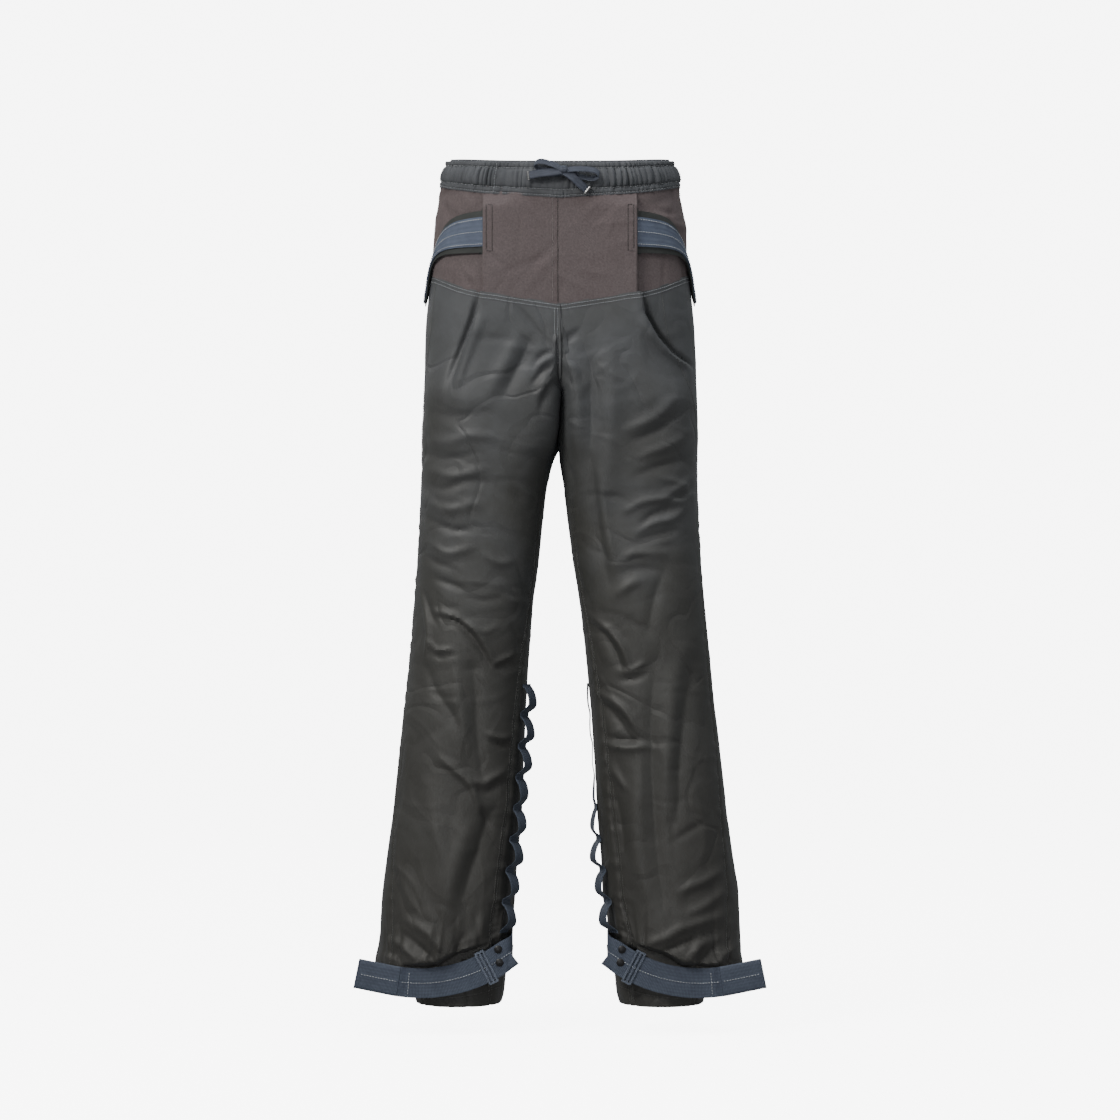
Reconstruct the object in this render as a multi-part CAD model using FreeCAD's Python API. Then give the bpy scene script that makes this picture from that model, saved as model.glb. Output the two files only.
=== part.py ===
"""Protective over-trousers with webbing hem belts, hip loops and a drawstring waist.

Frame: millimetres, +Z up, the wearer faces -Y, so the wearer's right leg is on -X.
The origin is the centre of the waist opening, level with the top of the waistband.
Each sewn panel, strap, ring and stud is a solid of its own, written to parts/NODE.step.
"""

import FreeCAD, Part

import math
import os

V = FreeCAD.Vector

# ---- driving dimensions -------------------------------------------------------------------
CLOTH = 2.0              # shell fabric with its seam allowance, as one wall
WAISTBAND_HEIGHT = 47.0
WAIST_HALF_WIDTH = 143.0
WAIST_HALF_DEPTH = 98.0
OUTSEAM = 1080.0         # top of the waistband to the hem
CROTCH_Z = -280.0
PLEAT_X = 98.0           # outer edge of the front centre yoke panels, where the hip loops come out
SEAM_GAP = 0.4           # between panels that move on different bodies

HIP_AXIS_Z = -250.0      # the legs swing about this line, along X
# The yoke ends on a turned surface round the swing axis: (x, radius) on each side of the middle.
HIP_TURN = [(100.0, 130.5), (160.0, 101.0)]

BELT_WIDTH = 38.0        # hem belt and hip loop webbing
BELT_THICK = 1.6
BACKING_WIDTH = 54.0     # cloth band behind the hip loop webbing
BACKING_THICK = 1.2

TAPE_WIDTH = 20.0        # looped tape down the inside of each lower leg
TAPE_THICK = 1.2
TAPE_LOOPS = 8
TAPE_BULGE = 12.0        # how far each loop stands off the leg

LINER_THICK = 3.0        # cut-resistant layers inside the front of each leg

CORD_WIDTH = 11.0        # flat drawstring
CORD_THICK = 1.2
BOW_X = 3.0              # the bow sits a little to the wearer's left
BOW_Z = -18.0
EYELET_SPACING = 36.0
EYELET_OUTER_R = 5.0
EYELET_BORE_R = 2.5

BIG = 2000.0             # larger than the garment, for trimming boxes


# ---- sections: (z, outer x, inner x, front y, back y, outer corner, inner corner, tilt) ------
# The tilt is the rise of the section's plane from its outer to its inner side, in degrees.
HEM_TILT = 11.0
LEG_STATIONS = [
    (-80.0, 157.5, 0.2, -108.0, 116.0, 103.0, 3.0, 0.0),
    (-170.0, 160.0, 0.2, -112.0, 122.0, 106.0, 3.0, 0.0),
    (-255.0, 171.0, 0.2, -106.0, 118.0, 100.0, 8.0, 0.0),
    (-382.0, 175.0, 5.0, -92.0, 98.0, 84.0, 55.0, 0.0),
    (-560.0, 184.0, 26.0, -80.0, 84.0, 74.0, 70.0, 0.0),
    (-764.0, 205.0, 45.0, -78.0, 80.0, 74.0, 74.0, 0.0),
    (-985.0, 232.0, 64.0, -84.0, 84.0, 78.0, 78.0, 3.0),
    (-1012.0, 206.0, 66.0, -66.0, 66.0, 60.0, 60.0, HEM_TILT),
    (-1056.0, 200.0, 68.0, -63.0, 63.0, 58.0, 58.0, HEM_TILT),
    (-OUTSEAM, 190.0, 70.0, -60.0, 60.0, 55.0, 55.0, 0.0),
]
YOKE_STATIONS = [
    (-WAISTBAND_HEIGHT, 155.0, -155.0, -105.0, 108.0, 100.0, 100.0, 0.0),
    (-80.0, 157.5, -157.5, -108.0, 116.0, 103.0, 103.0, 0.0),
    (-170.0, 160.0, -160.0, -112.0, 122.0, 106.0, 106.0, 0.0),
    (-200.0, 163.0, -163.0, -112.0, 122.0, 106.0, 106.0, 0.0),
]
BAND_STATIONS = [
    (0.0, WAIST_HALF_WIDTH, -WAIST_HALF_WIDTH, -WAIST_HALF_DEPTH, WAIST_HALF_DEPTH, 94.0, 94.0, 0.0),
    YOKE_STATIONS[0],
]


def section(station, inset=0.0, lift=0.0):
    """A rounded rectangle across the wearer's right side, pulled in by inset and raised by lift."""
    z, outer, inner, front, back, r_outer, r_inner, tilt = station
    x0, x1 = -outer + inset, -inner - inset
    y0, y1 = front + inset, back - inset
    r0, r1 = max(r_outer - inset, 0.6), max(r_inner - inset, 0.6)
    middle = (x0 + x1) / 2
    slope = math.tan(math.radians(tilt))

    def at(x, y):
        return V(x, y, z + lift + (x - middle) * slope)

    def corner(cx, cy, r, start):
        """Three points of a quarter turn from the start angle, in degrees."""
        angles = [math.radians(start + turn) for turn in (0, 45, 90)]
        return [at(cx + r * math.cos(a), cy + r * math.sin(a)) for a in angles]

    corners = [
        corner(x1 - r1, y1 - r1, r1, 0),
        corner(x0 + r0, y1 - r0, r0, 90),
        corner(x0 + r0, y0 + r0, r0, 180),
        corner(x1 - r1, y0 + r1, r1, 270),
    ]
    edges = []
    for i, (a, b, c) in enumerate(corners):
        edges.append(Part.Arc(a, b, c).toShape())
        following = corners[(i + 1) % 4][0]
        edges.append(Part.LineSegment(c, following).toShape())
    return Part.Wire(edges)


def tube(stations, inset=0.0, wall=CLOTH):
    """A closed wall that follows the stations, open at its top and bottom."""
    outside = Part.makeLoft([section(s, inset) for s in stations], True, True)
    past_ends = 8.0
    inner = [section(stations[0], inset + wall, past_ends)]
    inner += [section(s, inset + wall) for s in stations]
    inner.append(section(stations[-1], inset + wall, -past_ends))
    return outside.cut(Part.makeLoft(inner, True, True))


def block(x0, x1, y0, y1, z0, z1):
    """A box between two corners."""
    return Part.makeBox(x1 - x0, y1 - y0, z1 - z0, V(x0, y0, z0))


def hip_turn(smaller=0.0):
    """The turned surface that ends the yoke, about the swing axis, as a solid."""
    (near_x, near_r), (far_x, far_r) = HIP_TURN
    outline = [
        (-BIG, 0), (-BIG, far_r), (-far_x, far_r), (-near_x, near_r),
        (near_x, near_r), (far_x, far_r), (BIG, far_r), (BIG, 0), (-BIG, 0),
    ]
    points = [V(x, 0, HIP_AXIS_Z + max(r - smaller, 0)) for x, r in outline]
    return Part.Face(Part.makePolygon(points)).revolve(V(0, 0, HIP_AXIS_Z), V(1, 0, 0), 360)


def mirrored(shape):
    """The wearer's left copy of a right-hand part."""
    return shape.mirror(V(0, 0, 0), V(1, 0, 0))


def save(name, shape):
    """Writes one node, after a check that each of its solids is sound."""
    solids = shape.Solids
    sound = all(s.isValid() and s.Volume > 0 for s in solids)
    if not solids or not sound:
        raise ValueError(f"{name} has a bad solid")
    kept = solids[0] if len(solids) == 1 else Part.makeCompound(solids)
    kept.exportStep(f"parts/{name}.step")
    print(f"{name:32s} {len(solids)} solid(s) {sum(s.Volume for s in solids) / 1000:9.2f} cm3")


def save_pair(name, shape):
    """Writes a part for both sides of the wearer."""
    save(f"right_{name}", shape)
    save(f"left_{name}", mirrored(shape))


# ---- waistband ------------------------------------------------------------------------------
CASING_WALL = 1.5
CORD_LAYER = 1.8         # inset of each layer inside the casing
ELASTIC_LAYER = 3.3
FACING_LAYER = 5.1
BAND_CLEAR = 0.2         # the waistband stops this far above the yoke


def level_ring(inset, wall, top, bottom):
    """A slice of the waistband's form between two heights."""
    ring = tube(BAND_STATIONS, inset, wall)
    return ring.common(block(-BIG, BIG, -BIG, BIG, bottom, top))


def casing_lean():
    """How far the front casing comes forward over its height, in millimetres."""
    return BAND_STATIONS[0][3] - BAND_STATIONS[1][3]


def eyelet_places():
    """Centres of the two eyelets, on the outside of the front casing."""
    half = EYELET_SPACING / 2
    front = -WAIST_HALF_DEPTH + BOW_Z / WAISTBAND_HEIGHT * casing_lean()
    return [V(BOW_X - half, front, BOW_Z), V(BOW_X + half, front, BOW_Z)]


def waistband():
    casing = level_ring(0.0, CASING_WALL, 0.0, -WAISTBAND_HEIGHT + BAND_CLEAR)
    front = casing.common(block(-BIG, BIG, -BIG, 0, -BIG, BIG))
    hole_depth = 12.0
    for place in eyelet_places():
        hole = Part.makeCylinder(
            EYELET_BORE_R + 1.0, hole_depth, place - V(0, hole_depth / 2, 0), V(0, 1, 0)
        )
        front = front.cut(hole)
    save("waistband_front_casing", front)
    save("waistband_back_casing", casing.common(block(-BIG, BIG, 0, BIG, -BIG, BIG)))
    save("waist_elastic", level_ring(ELASTIC_LAYER, 1.5, -6.0, -42.0))
    save("waistband_inner_facing", level_ring(FACING_LAYER, 1.2, -1.0, -WAISTBAND_HEIGHT + 1))
    half_cord = CORD_WIDTH / 2
    core = level_ring(CORD_LAYER, CORD_THICK, BOW_Z + half_cord, BOW_Z - half_cord)
    mouth = block(
        BOW_X - EYELET_SPACING / 2 + 6, BOW_X + EYELET_SPACING / 2 - 6, -BIG, 0, -BIG, BIG
    )
    save("drawstring_in_waistband", core.cut(mouth))


def eyelets():
    """Pressed metal eyelets: a domed flange outside and a barrel through the casing."""
    flange = 1.1
    barrel = 2.4
    for side, place in zip(("right", "left"), eyelet_places()):
        ring = Part.makeTorus(
            (EYELET_OUTER_R + EYELET_BORE_R) / 2, flange, place - V(0, flange, 0), V(0, 1, 0)
        )
        sleeve = Part.makeCylinder(EYELET_BORE_R + 0.8, barrel, place - V(0, 1.2, 0), V(0, 1, 0))
        bore = Part.makeCylinder(EYELET_BORE_R, 4 * barrel, place - V(0, 2 * barrel, 0), V(0, 1, 0))
        behind = block(-BIG, BIG, place.y - 0.05, BIG, -BIG, BIG)
        eyelet = ring.cut(behind).fuse(sleeve).cut(bore)
        lean = math.degrees(math.atan(casing_lean() / WAISTBAND_HEIGHT))
        eyelet.rotate(place, V(1, 0, 0), -lean)
        save(f"{side}_eyelet", eyelet)


# ---- yoke -----------------------------------------------------------------------------------
def yoke():
    wall = tube(YOKE_STATIONS)
    wall = wall.cut(hip_turn())
    wall = wall.cut(block(-BIG, BIG, -BIG, BIG, -BIG, HIP_AXIS_Z))
    front = wall.common(block(-BIG, 0, -BIG, 0, -BIG, BIG))
    save_pair("yoke_front_panel", front.common(block(-PLEAT_X, 0, -BIG, 0, -BIG, BIG)))
    save_pair("yoke_side_panel", front.common(block(-BIG, -PLEAT_X, -BIG, 0, -BIG, BIG)))
    save_pair("yoke_back_panel", wall.common(block(-BIG, 0, 0, BIG, -BIG, BIG)))


# ---- legs -----------------------------------------------------------------------------------
SIDE_SEAM_Y = -40.0      # the front panel is narrower than the back, so both seams show in front
GUSSET_BACK_Y = 40.0
GUSSET_TOP_Z = -330.0
HEM_FACING_HEIGHT = 22.0


def leg_wall():
    """One trouser leg, open between the legs above the crotch."""
    wall = tube(LEG_STATIONS)
    centre_opening = block(-8, 8, -100, 110, CROTCH_Z, BIG)
    wall = wall.cut(centre_opening)
    keep = hip_turn(SEAM_GAP).fuse(block(-BIG, BIG, -BIG, BIG, -BIG, HIP_AXIS_Z))
    return wall.common(keep)


def leg_panels():
    wall = leg_wall()
    inner_side = 120.0
    front = wall.common(block(-BIG, BIG, -BIG, SIDE_SEAM_Y, -BIG, BIG))
    rest = wall.common(block(-BIG, BIG, SIDE_SEAM_Y, BIG, -BIG, BIG))
    strip = block(-inner_side, BIG, SIDE_SEAM_Y, GUSSET_BACK_Y, -BIG, GUSSET_TOP_Z)
    save_pair("leg_front_panel", front)
    save_pair("leg_back_panel", rest.cut(strip))
    save_pair("leg_inner_gusset", rest.common(strip))


def leg_liner():
    """Layered cut-resistant cloth, sewn in behind the front panel from thigh to shin."""
    inset = CLOTH + 0.3
    layer = tube(LEG_STATIONS[3:7], inset, LINER_THICK)
    seam_room = 6.0
    save_pair("leg_cut_liner", layer.common(block(-BIG, BIG, -BIG, SIDE_SEAM_Y - seam_room, -BIG, BIG)))


def hem_facing():
    """The turned-up hem inside each leg."""
    ring = tube(LEG_STATIONS[-2:], CLOTH + 0.2, 1.2)
    low = -OUTSEAM
    save_pair("hem_facing", ring.common(block(-BIG, BIG, -BIG, BIG, low, low + HEM_FACING_HEIGHT)))


# ---- looped tape down the inside of the lower leg ----------------------------------------------
# The tape runs down the inner front corner of the leg. It is drawn in a plane of its own, along
# the leg and out from it, and given its width along the cloth.
TAPE_CLEAR = 2.0         # between the tape's tacks and the cloth's mean surface
TAPE_TURN = 31.0         # how far the tape's outward side is turned from straight inwards to the front
TAPE_TOP = V(-39.0, -28.0, -668.0)
TAPE_BOTTOM = V(-82.3, -54.7, -985.0)
TAPE_BOW = 4.6           # how far the leg bulges out past a straight line between the two ends


def loop_tape():
    """A tape tacked to the leg at even steps, with a loop standing out between two tacks."""
    a = math.radians(TAPE_TURN)
    outward = V(math.cos(a), -math.sin(a), 0)
    across = V(math.sin(a), math.cos(a), 0)
    pitch = 1.0 / TAPE_LOOPS
    tack = 0.16 * pitch

    def stand(share, extra):
        """A point a share of the way down the tape, lifted off the cloth by extra."""
        bow = TAPE_BOW * (1 - (2 * share - 1) ** 2)
        return TAPE_TOP + (TAPE_BOTTOM - TAPE_TOP) * share + outward * (TAPE_CLEAR + bow + extra)

    loops = []
    for i in range(TAPE_LOOPS):
        start, end = i * pitch, (i + 1) * pitch
        top, bottom = start + tack, end - tack
        middle = (start + end) / 2
        under = [stand(top, 0), stand(middle, TAPE_BULGE), stand(bottom, 0)]
        over = [
            stand(bottom, TAPE_THICK),
            stand(middle, TAPE_BULGE + TAPE_THICK),
            stand(top, TAPE_THICK),
        ]
        edges = [
            Part.LineSegment(stand(start, 0), under[0]),
            Part.Arc(*under),
            Part.LineSegment(under[2], stand(end, 0)),
            Part.LineSegment(stand(end, 0), stand(end, TAPE_THICK)),
            Part.LineSegment(stand(end, TAPE_THICK), over[0]),
            Part.Arc(*over),
            Part.LineSegment(over[2], stand(start, TAPE_THICK)),
            Part.LineSegment(stand(start, TAPE_THICK), stand(start, 0)),
        ]
        face = Part.Face(Part.Wire([e.toShape() for e in edges]))
        face.translate(across * (-TAPE_WIDTH / 2))
        loops.append(face.extrude(across * TAPE_WIDTH))
    save_pair("leg_loop_tape", loops[0].multiFuse(loops[1:]).removeSplitter())


# ---- hem belt --------------------------------------------------------------------------------
# Seen from the front, the belt's outer run hangs in one arc from the inner side of the leg to a
# low point and then runs straight to its free end. Seen from above, it starts flat against the
# inner side of the under-belt, turns one corner and crosses the front of the leg.
BELT_LOW_X = -178.0
BELT_LOW_Z = -1048.0
BELT_ARC_RADIUS = 185.6
BELT_INNER_ANGLE = 44.0  # angles on the arc, from straight down towards the inner side
BELT_STRAIGHT_ANGLE = -11.5
BELT_STRAIGHT_LENGTH = 44.0
BELT_FRONT_Y = -71.5     # back face of the run across the front
BELT_INNER_X = -62.1     # outer face of the under-belt, where the run starts
BELT_INNER_Y = -18.0
BELT_CORNER_RADIUS = 9.0
BELT_HINGE_X = -200.0    # the free end folds about an upright crease here
BELT_HINGE_GAP = 1.4
BELT_HEM_FOLD = 46.0     # the free end's last stretch is folded back and sewn double
UNDER_BELT_STAND = 2.2   # the under-belt stands this far off the drawn-in leg


def on_arc(angle, offset=0.0, y=0.0):
    """A point on the belt's arc, offset down its width."""
    a = math.radians(angle)
    r = BELT_ARC_RADIUS + offset
    centre_z = BELT_LOW_Z + BELT_ARC_RADIUS
    return V(BELT_LOW_X + r * math.sin(a), y, centre_z - r * math.cos(a))


def belt_front_shape():
    """The belt's outline seen from the front, as a block through the whole depth."""
    half = BELT_WIDTH / 2
    middle = (BELT_INNER_ANGLE + BELT_STRAIGHT_ANGLE) / 2
    a = math.radians(BELT_STRAIGHT_ANGLE)
    run = V(-math.cos(a), 0, -math.sin(a)) * BELT_STRAIGHT_LENGTH
    top = [on_arc(angle, -half) for angle in (BELT_INNER_ANGLE, middle, BELT_STRAIGHT_ANGLE)]
    low = [on_arc(angle, half) for angle in (BELT_STRAIGHT_ANGLE, middle, BELT_INNER_ANGLE)]
    edges = [
        Part.Arc(*top),
        Part.LineSegment(top[2], top[2] + run),
        Part.LineSegment(top[2] + run, low[0] + run),
        Part.LineSegment(low[0] + run, low[0]),
        Part.Arc(*low),
        Part.LineSegment(low[2], top[0]),
    ]
    face = Part.Face(Part.Wire([e.toShape() for e in edges]))
    face.translate(V(0, -BIG / 2, 0))
    return face.extrude(V(0, BIG, 0))


def belt_plan(lift, thick, x_outer):
    """The belt's run seen from above: one layer, lifted off the first one's back face."""
    r = BELT_CORNER_RADIUS + lift
    x, y = BELT_INNER_X + lift, BELT_FRONT_Y - lift
    centre = V(BELT_INNER_X - BELT_CORNER_RADIUS, BELT_FRONT_Y + BELT_CORNER_RADIUS, 0)
    turn = math.sqrt(0.5)

    def around(radius):
        return [
            centre + V(radius, 0, 0),
            centre + V(radius * turn, -radius * turn, 0),
            centre + V(0, -radius, 0),
        ]

    inside, outside = around(r), around(r + thick)
    edges = [
        Part.LineSegment(V(x, BELT_INNER_Y, 0), inside[0]),
        Part.Arc(*inside),
        Part.LineSegment(inside[2], V(x_outer, y, 0)),
        Part.LineSegment(V(x_outer, y, 0), V(x_outer, y - thick, 0)),
        Part.LineSegment(V(x_outer, y - thick, 0), outside[2]),
        Part.Arc(*reversed(outside)),
        Part.LineSegment(outside[0], V(x + thick, BELT_INNER_Y, 0)),
        Part.LineSegment(V(x + thick, BELT_INNER_Y, 0), V(x, BELT_INNER_Y, 0)),
    ]
    face = Part.Face(Part.Wire([e.toShape() for e in edges]))
    face.translate(V(0, 0, -BIG))
    return face.extrude(V(0, 0, BIG))


def under_belt():
    """The belt's round under-layer, which draws the leg in above the hem."""
    grow = UNDER_BELT_STAND + BELT_THICK
    stations = []
    for z, outer, inner, front, back, r0, r1, tilt in LEG_STATIONS[-3:-1]:
        stations.append(
            [z, outer + grow, inner - grow, front - grow, back + grow, r0 + grow, r1 + grow, tilt]
        )
    middle = (stations[0][0] + stations[1][0]) / 2
    stations[0][0] = middle + BELT_WIDTH / 2
    stations[1][0] = middle - BELT_WIDTH / 2
    return tube(stations, 0.0, BELT_THICK)


STUD_SEATS = [(34.8, -12.0), (32.4, 3.0)]   # (angle on the arc, offset down the width)
STUD_CAP_R = 5.0
STUD_CAP_HEIGHT = 2.4
STUD_POST_R = 1.6
STUD_BACK_HEIGHT = 1.2
STUD_BACK_CLEAR = 0.1    # keeps the sockets off the curved part of the tab
TAB_ANGLES = (30.5, 38.0)


def stud_holes():
    """The holes that the studs' posts fill, through both layers."""
    posts = []
    for angle, offset in STUD_SEATS:
        seat = on_arc(angle, offset, BELT_FRONT_Y + 5)
        posts.append(Part.makeCylinder(STUD_POST_R, 12, seat, V(0, -1, 0)))
    return Part.makeCompound(posts)


def hem_belt():
    front = belt_front_shape()
    holes = stud_holes()
    save_pair("hem_under_belt", under_belt())
    run = belt_plan(0.0, BELT_THICK, BELT_HINGE_X + BELT_HINGE_GAP / 2)
    save_pair("hem_belt_front", front.common(run).cut(holes))
    x_hinge = BELT_HINGE_X - BELT_HINGE_GAP / 2
    end = block(-BIG, x_hinge, BELT_FRONT_Y - BELT_THICK, BELT_FRONT_Y, -BIG, 0)
    fold = block(
        -BIG, x_hinge - 6, BELT_FRONT_Y - 2 * BELT_THICK, BELT_FRONT_Y - BELT_THICK, -BIG, 0
    )
    save_pair("hem_belt_free_end", front.common(end.fuse(fold)).removeSplitter())
    wedge = []
    for angle in TAB_ANGLES:
        wedge += [on_arc(angle, -60), on_arc(angle, 60)]
    sector = Part.Face(Part.makePolygon([wedge[0], wedge[1], wedge[3], wedge[2], wedge[0]]))
    sector.translate(V(0, -BIG / 2, 0))
    behind = belt_plan(-BELT_THICK, BELT_THICK, BELT_HINGE_X)
    behind = behind.common(block(-BIG, BIG, -BIG, BELT_FRONT_Y + BELT_CORNER_RADIUS, -BIG, 0))
    tab = front.common(sector.extrude(V(0, BIG, 0))).common(behind)
    save_pair("hem_belt_stud_tab", tab.cut(holes))


def press_studs():
    """Two press studs: domed caps with their posts in front, flat sockets behind the tab."""
    caps, sockets = [], []
    face_y = BELT_FRONT_Y - BELT_THICK
    back_y = BELT_FRONT_Y + BELT_THICK + STUD_BACK_CLEAR
    dome_r = 9.0
    for angle, offset in STUD_SEATS:
        seat = on_arc(angle, offset, face_y)
        dome = Part.makeSphere(dome_r, seat + V(0, dome_r - STUD_CAP_HEIGHT, 0))
        cap = Part.makeCylinder(STUD_CAP_R, STUD_CAP_HEIGHT, seat, V(0, -1, 0)).common(dome)
        post = Part.makeCylinder(
            STUD_POST_R, back_y - face_y, on_arc(angle, offset, back_y), V(0, -1, 0)
        )
        caps.append(cap.fuse(post))
        socket = on_arc(angle, offset, back_y + STUD_BACK_HEIGHT)
        sockets.append(Part.makeCylinder(STUD_CAP_R - 0.5, STUD_BACK_HEIGHT, socket, V(0, -1, 0)))
    save_pair("press_stud_caps", Part.makeCompound(caps))
    save_pair("press_stud_sockets", Part.makeCompound(sockets))


SLIDER_ANGLE = 27.0
SLIDER_LENGTH = 13.0
SLIDER_BAR = 2.6
SLIDER_WALL = 1.5
SLIDER_CLEAR = 0.4


def belt_slider():
    """A three-bar slider round the belt, made at the arc's low point and turned into place."""
    half_room = BELT_WIDTH / 2 + 1.0
    half_height = half_room + SLIDER_BAR
    x0, x1 = BELT_LOW_X - SLIDER_LENGTH / 2, BELT_LOW_X + SLIDER_LENGTH / 2
    back = BELT_FRONT_Y + SLIDER_CLEAR
    front = BELT_FRONT_Y - BELT_THICK - SLIDER_CLEAR
    low, high = BELT_LOW_Z - half_height, BELT_LOW_Z + half_height
    frame = block(x0, x1, front - SLIDER_WALL, back + SLIDER_WALL, low, high)
    low, high = BELT_LOW_Z - half_room, BELT_LOW_Z + half_room
    frame = frame.cut(block(x0 - 1, x1 + 1, front, back, low, high))
    window = (SLIDER_LENGTH - 3 * SLIDER_BAR) / 2
    for x in (x0 + SLIDER_BAR, x1 - SLIDER_BAR - window):
        frame = frame.cut(block(x, x + window, front - 5, back + 5, low, high))
    centre = on_arc(0, -BELT_ARC_RADIUS)
    frame.rotate(centre, V(0, 1, 0), -SLIDER_ANGLE)
    save_pair("hem_belt_slider", frame)


# ---- hip loops --------------------------------------------------------------------------------
# In plan each loop is one arc, sewn down at the front and back and a hand's thickness off the hip.
# From the side it is level near both ends and dips in the middle like a bell curve.
HIP_LOOP_Z = -92.0       # height of both sewn ends
HIP_LOOP_DIP = 68.0      # how far the middle hangs
HIP_LOOP_DIP_Y = 2.0
HIP_LOOP_DIP_SPREAD = 42.0
HIP_LOOP_CENTRE = V(-53.2, 5.5, 0.0)
HIP_LOOP_RADIUS = 116.8
HIP_LOOP_END_X = 88.0
ANCHOR_CLEAR = 0.4


def hip_loop_line(y, offset):
    """A point on the loop's line seen from the side, raised by offset."""
    along = (y - HIP_LOOP_DIP_Y) / HIP_LOOP_DIP_SPREAD
    return V(-BIG / 2, y, HIP_LOOP_Z - HIP_LOOP_DIP * math.exp(-(along**2)) + offset)


def hip_loop_layer(stand, thick, width):
    """One layer of a loop: a slice of a round curtain, trimmed to the hanging line."""
    low = HIP_LOOP_CENTRE + V(0, 0, -260)
    radius = HIP_LOOP_RADIUS + stand
    curtain = Part.makeCylinder(radius + thick, 220, low)
    curtain = curtain.cut(Part.makeCylinder(radius, 220, low))
    steps = 18
    reach = radius + 10
    ys = [HIP_LOOP_CENTRE.y + reach * (2 * i / steps - 1) for i in range(steps + 1)]
    rims = []
    for offset in (width / 2, -width / 2):
        rim = Part.BSplineCurve()
        rim.interpolate([hip_loop_line(y, offset) for y in ys])
        rims.append(rim)
    top, bottom = rims
    edges = [
        top.toShape(),
        Part.LineSegment(top.EndPoint, bottom.EndPoint).toShape(),
        bottom.toShape(),
        Part.LineSegment(bottom.StartPoint, top.StartPoint).toShape(),
    ]
    band = Part.Face(Part.Wire(Part.__sortEdges__(edges))).extrude(V(BIG, 0, 0))
    return curtain.common(band).common(block(-BIG, -HIP_LOOP_END_X, -BIG, BIG, -BIG, -40))


def hip_loops():
    save_pair("hip_loop_backing", hip_loop_layer(0.0, BACKING_THICK, BACKING_WIDTH))
    save_pair("hip_loop_webbing", hip_loop_layer(BACKING_THICK, BELT_THICK, BELT_WIDTH))
    half = BACKING_WIDTH / 2
    fill = Part.makeCylinder(HIP_LOOP_RADIUS - ANCHOR_CLEAR, 220, HIP_LOOP_CENTRE + V(0, 0, -260))
    fill = fill.common(
        block(-PLEAT_X, -HIP_LOOP_END_X, -BIG, BIG, HIP_LOOP_Z - half, HIP_LOOP_Z + half)
    )
    fill = fill.cut(Part.makeLoft([section(s) for s in YOKE_STATIONS], True, True))
    save_pair("hip_loop_front_anchor", fill.common(block(-BIG, 0, -BIG, 0, -BIG, BIG)))
    save_pair("hip_loop_back_anchor", fill.common(block(-BIG, 0, 0, BIG, -BIG, BIG)))


# ---- drawstring bow -----------------------------------------------------------------------------
# Each half comes out of its eyelet, meets the knot, makes a loop and leaves again as a tail.
# Routes are seen from above: (distance out from the knot, distance in front of the waistband).
KNOT_X = BOW_X + 1.0
KNOT_Z = BOW_Z + 2.0
KNOT_HALF = (4.4, 6.0, 5.2)
KNOT_STAND = 7.2
BOW_FACE_Y = -102.0      # front of the waistband at the bow
LEAD_RADIUS = 1.6        # the tape is bunched round where it passes through the eyelet
RIGHT_LOOP = [(3.0, 8.0), (18.0, 9.2), (32.0, 8.8), (38.0, 6.6), (32.5, 4.4), (18.0, 4.8), (3.0, 5.6)]
LEFT_LOOP = [(3.0, 8.0), (22.0, 9.6), (41.0, 8.8), (47.0, 6.6), (41.5, 4.4), (22.0, 4.8), (3.0, 5.6)]
RIGHT_TAIL = [(2.5, 11.6), (17.0, 12.0), (31.0, 11.0), (43.0, 8.0)]
LEFT_TAIL = [(2.5, 11.6), (15.0, 12.0), (27.0, 10.6), (38.0, 7.6)]
RIGHT_TILTS = (14.0, -8.0)   # rise of the loop and of the tail, outwards from the knot, in degrees
LEFT_TILTS = (-7.0, -39.0)


def rounded_path(points):
    """Straight runs joined by tangent arcs, each as large as its two runs allow."""
    edges = []
    start = points[0]
    for before, corner, after in zip(points, points[1:], points[2:]):
        run_in, run_out = corner - before, after - corner
        turn = run_in.getAngle(run_out)
        reach = 0.45 * min(run_in.Length, run_out.Length)
        print(f"    bend radius {reach / math.tan(turn / 2):6.1f}")
        into = corner - V(run_in).normalize() * reach
        out = corner + V(run_out).normalize() * reach
        inward = (into + out) * 0.5 - corner
        bulge = reach * math.tan(turn / 2)
        radius = reach / math.tan(turn / 2)
        depth = math.hypot(reach, radius) - radius
        middle = corner + V(inward).normalize() * depth
        edges.append(Part.LineSegment(start, into).toShape())
        edges.append(Part.Arc(into, middle, out).toShape())
        start = out
    edges.append(Part.LineSegment(start, points[-1]).toShape())
    return Part.Wire(edges)


def flat_tape(route, side, tilt):
    """A flat tape on edge along a route, tilted about the knot."""
    points = [V(side * out, -stand, 0) for out, stand in route]
    band = rounded_path(points).makeOffset2D(CORD_THICK, 0, True, True)
    tape = band.extrude(V(0, 0, CORD_WIDTH))
    tape.translate(V(0, 0, -CORD_WIDTH / 2))
    tape.rotate(V(0, 0, 0), V(0, 1, 0), -side * tilt)
    tape.translate(V(KNOT_X, BOW_FACE_Y, KNOT_Z))
    return tape


def knot_shape():
    """The knot, a rounded lump."""
    ball = Part.makeSphere(1.0)
    stretch = FreeCAD.Matrix()
    stretch.scale(*KNOT_HALF)
    ball = ball.transformGeometry(stretch)
    ball.translate(V(KNOT_X, BOW_FACE_Y - KNOT_STAND, KNOT_Z))
    return ball


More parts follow.
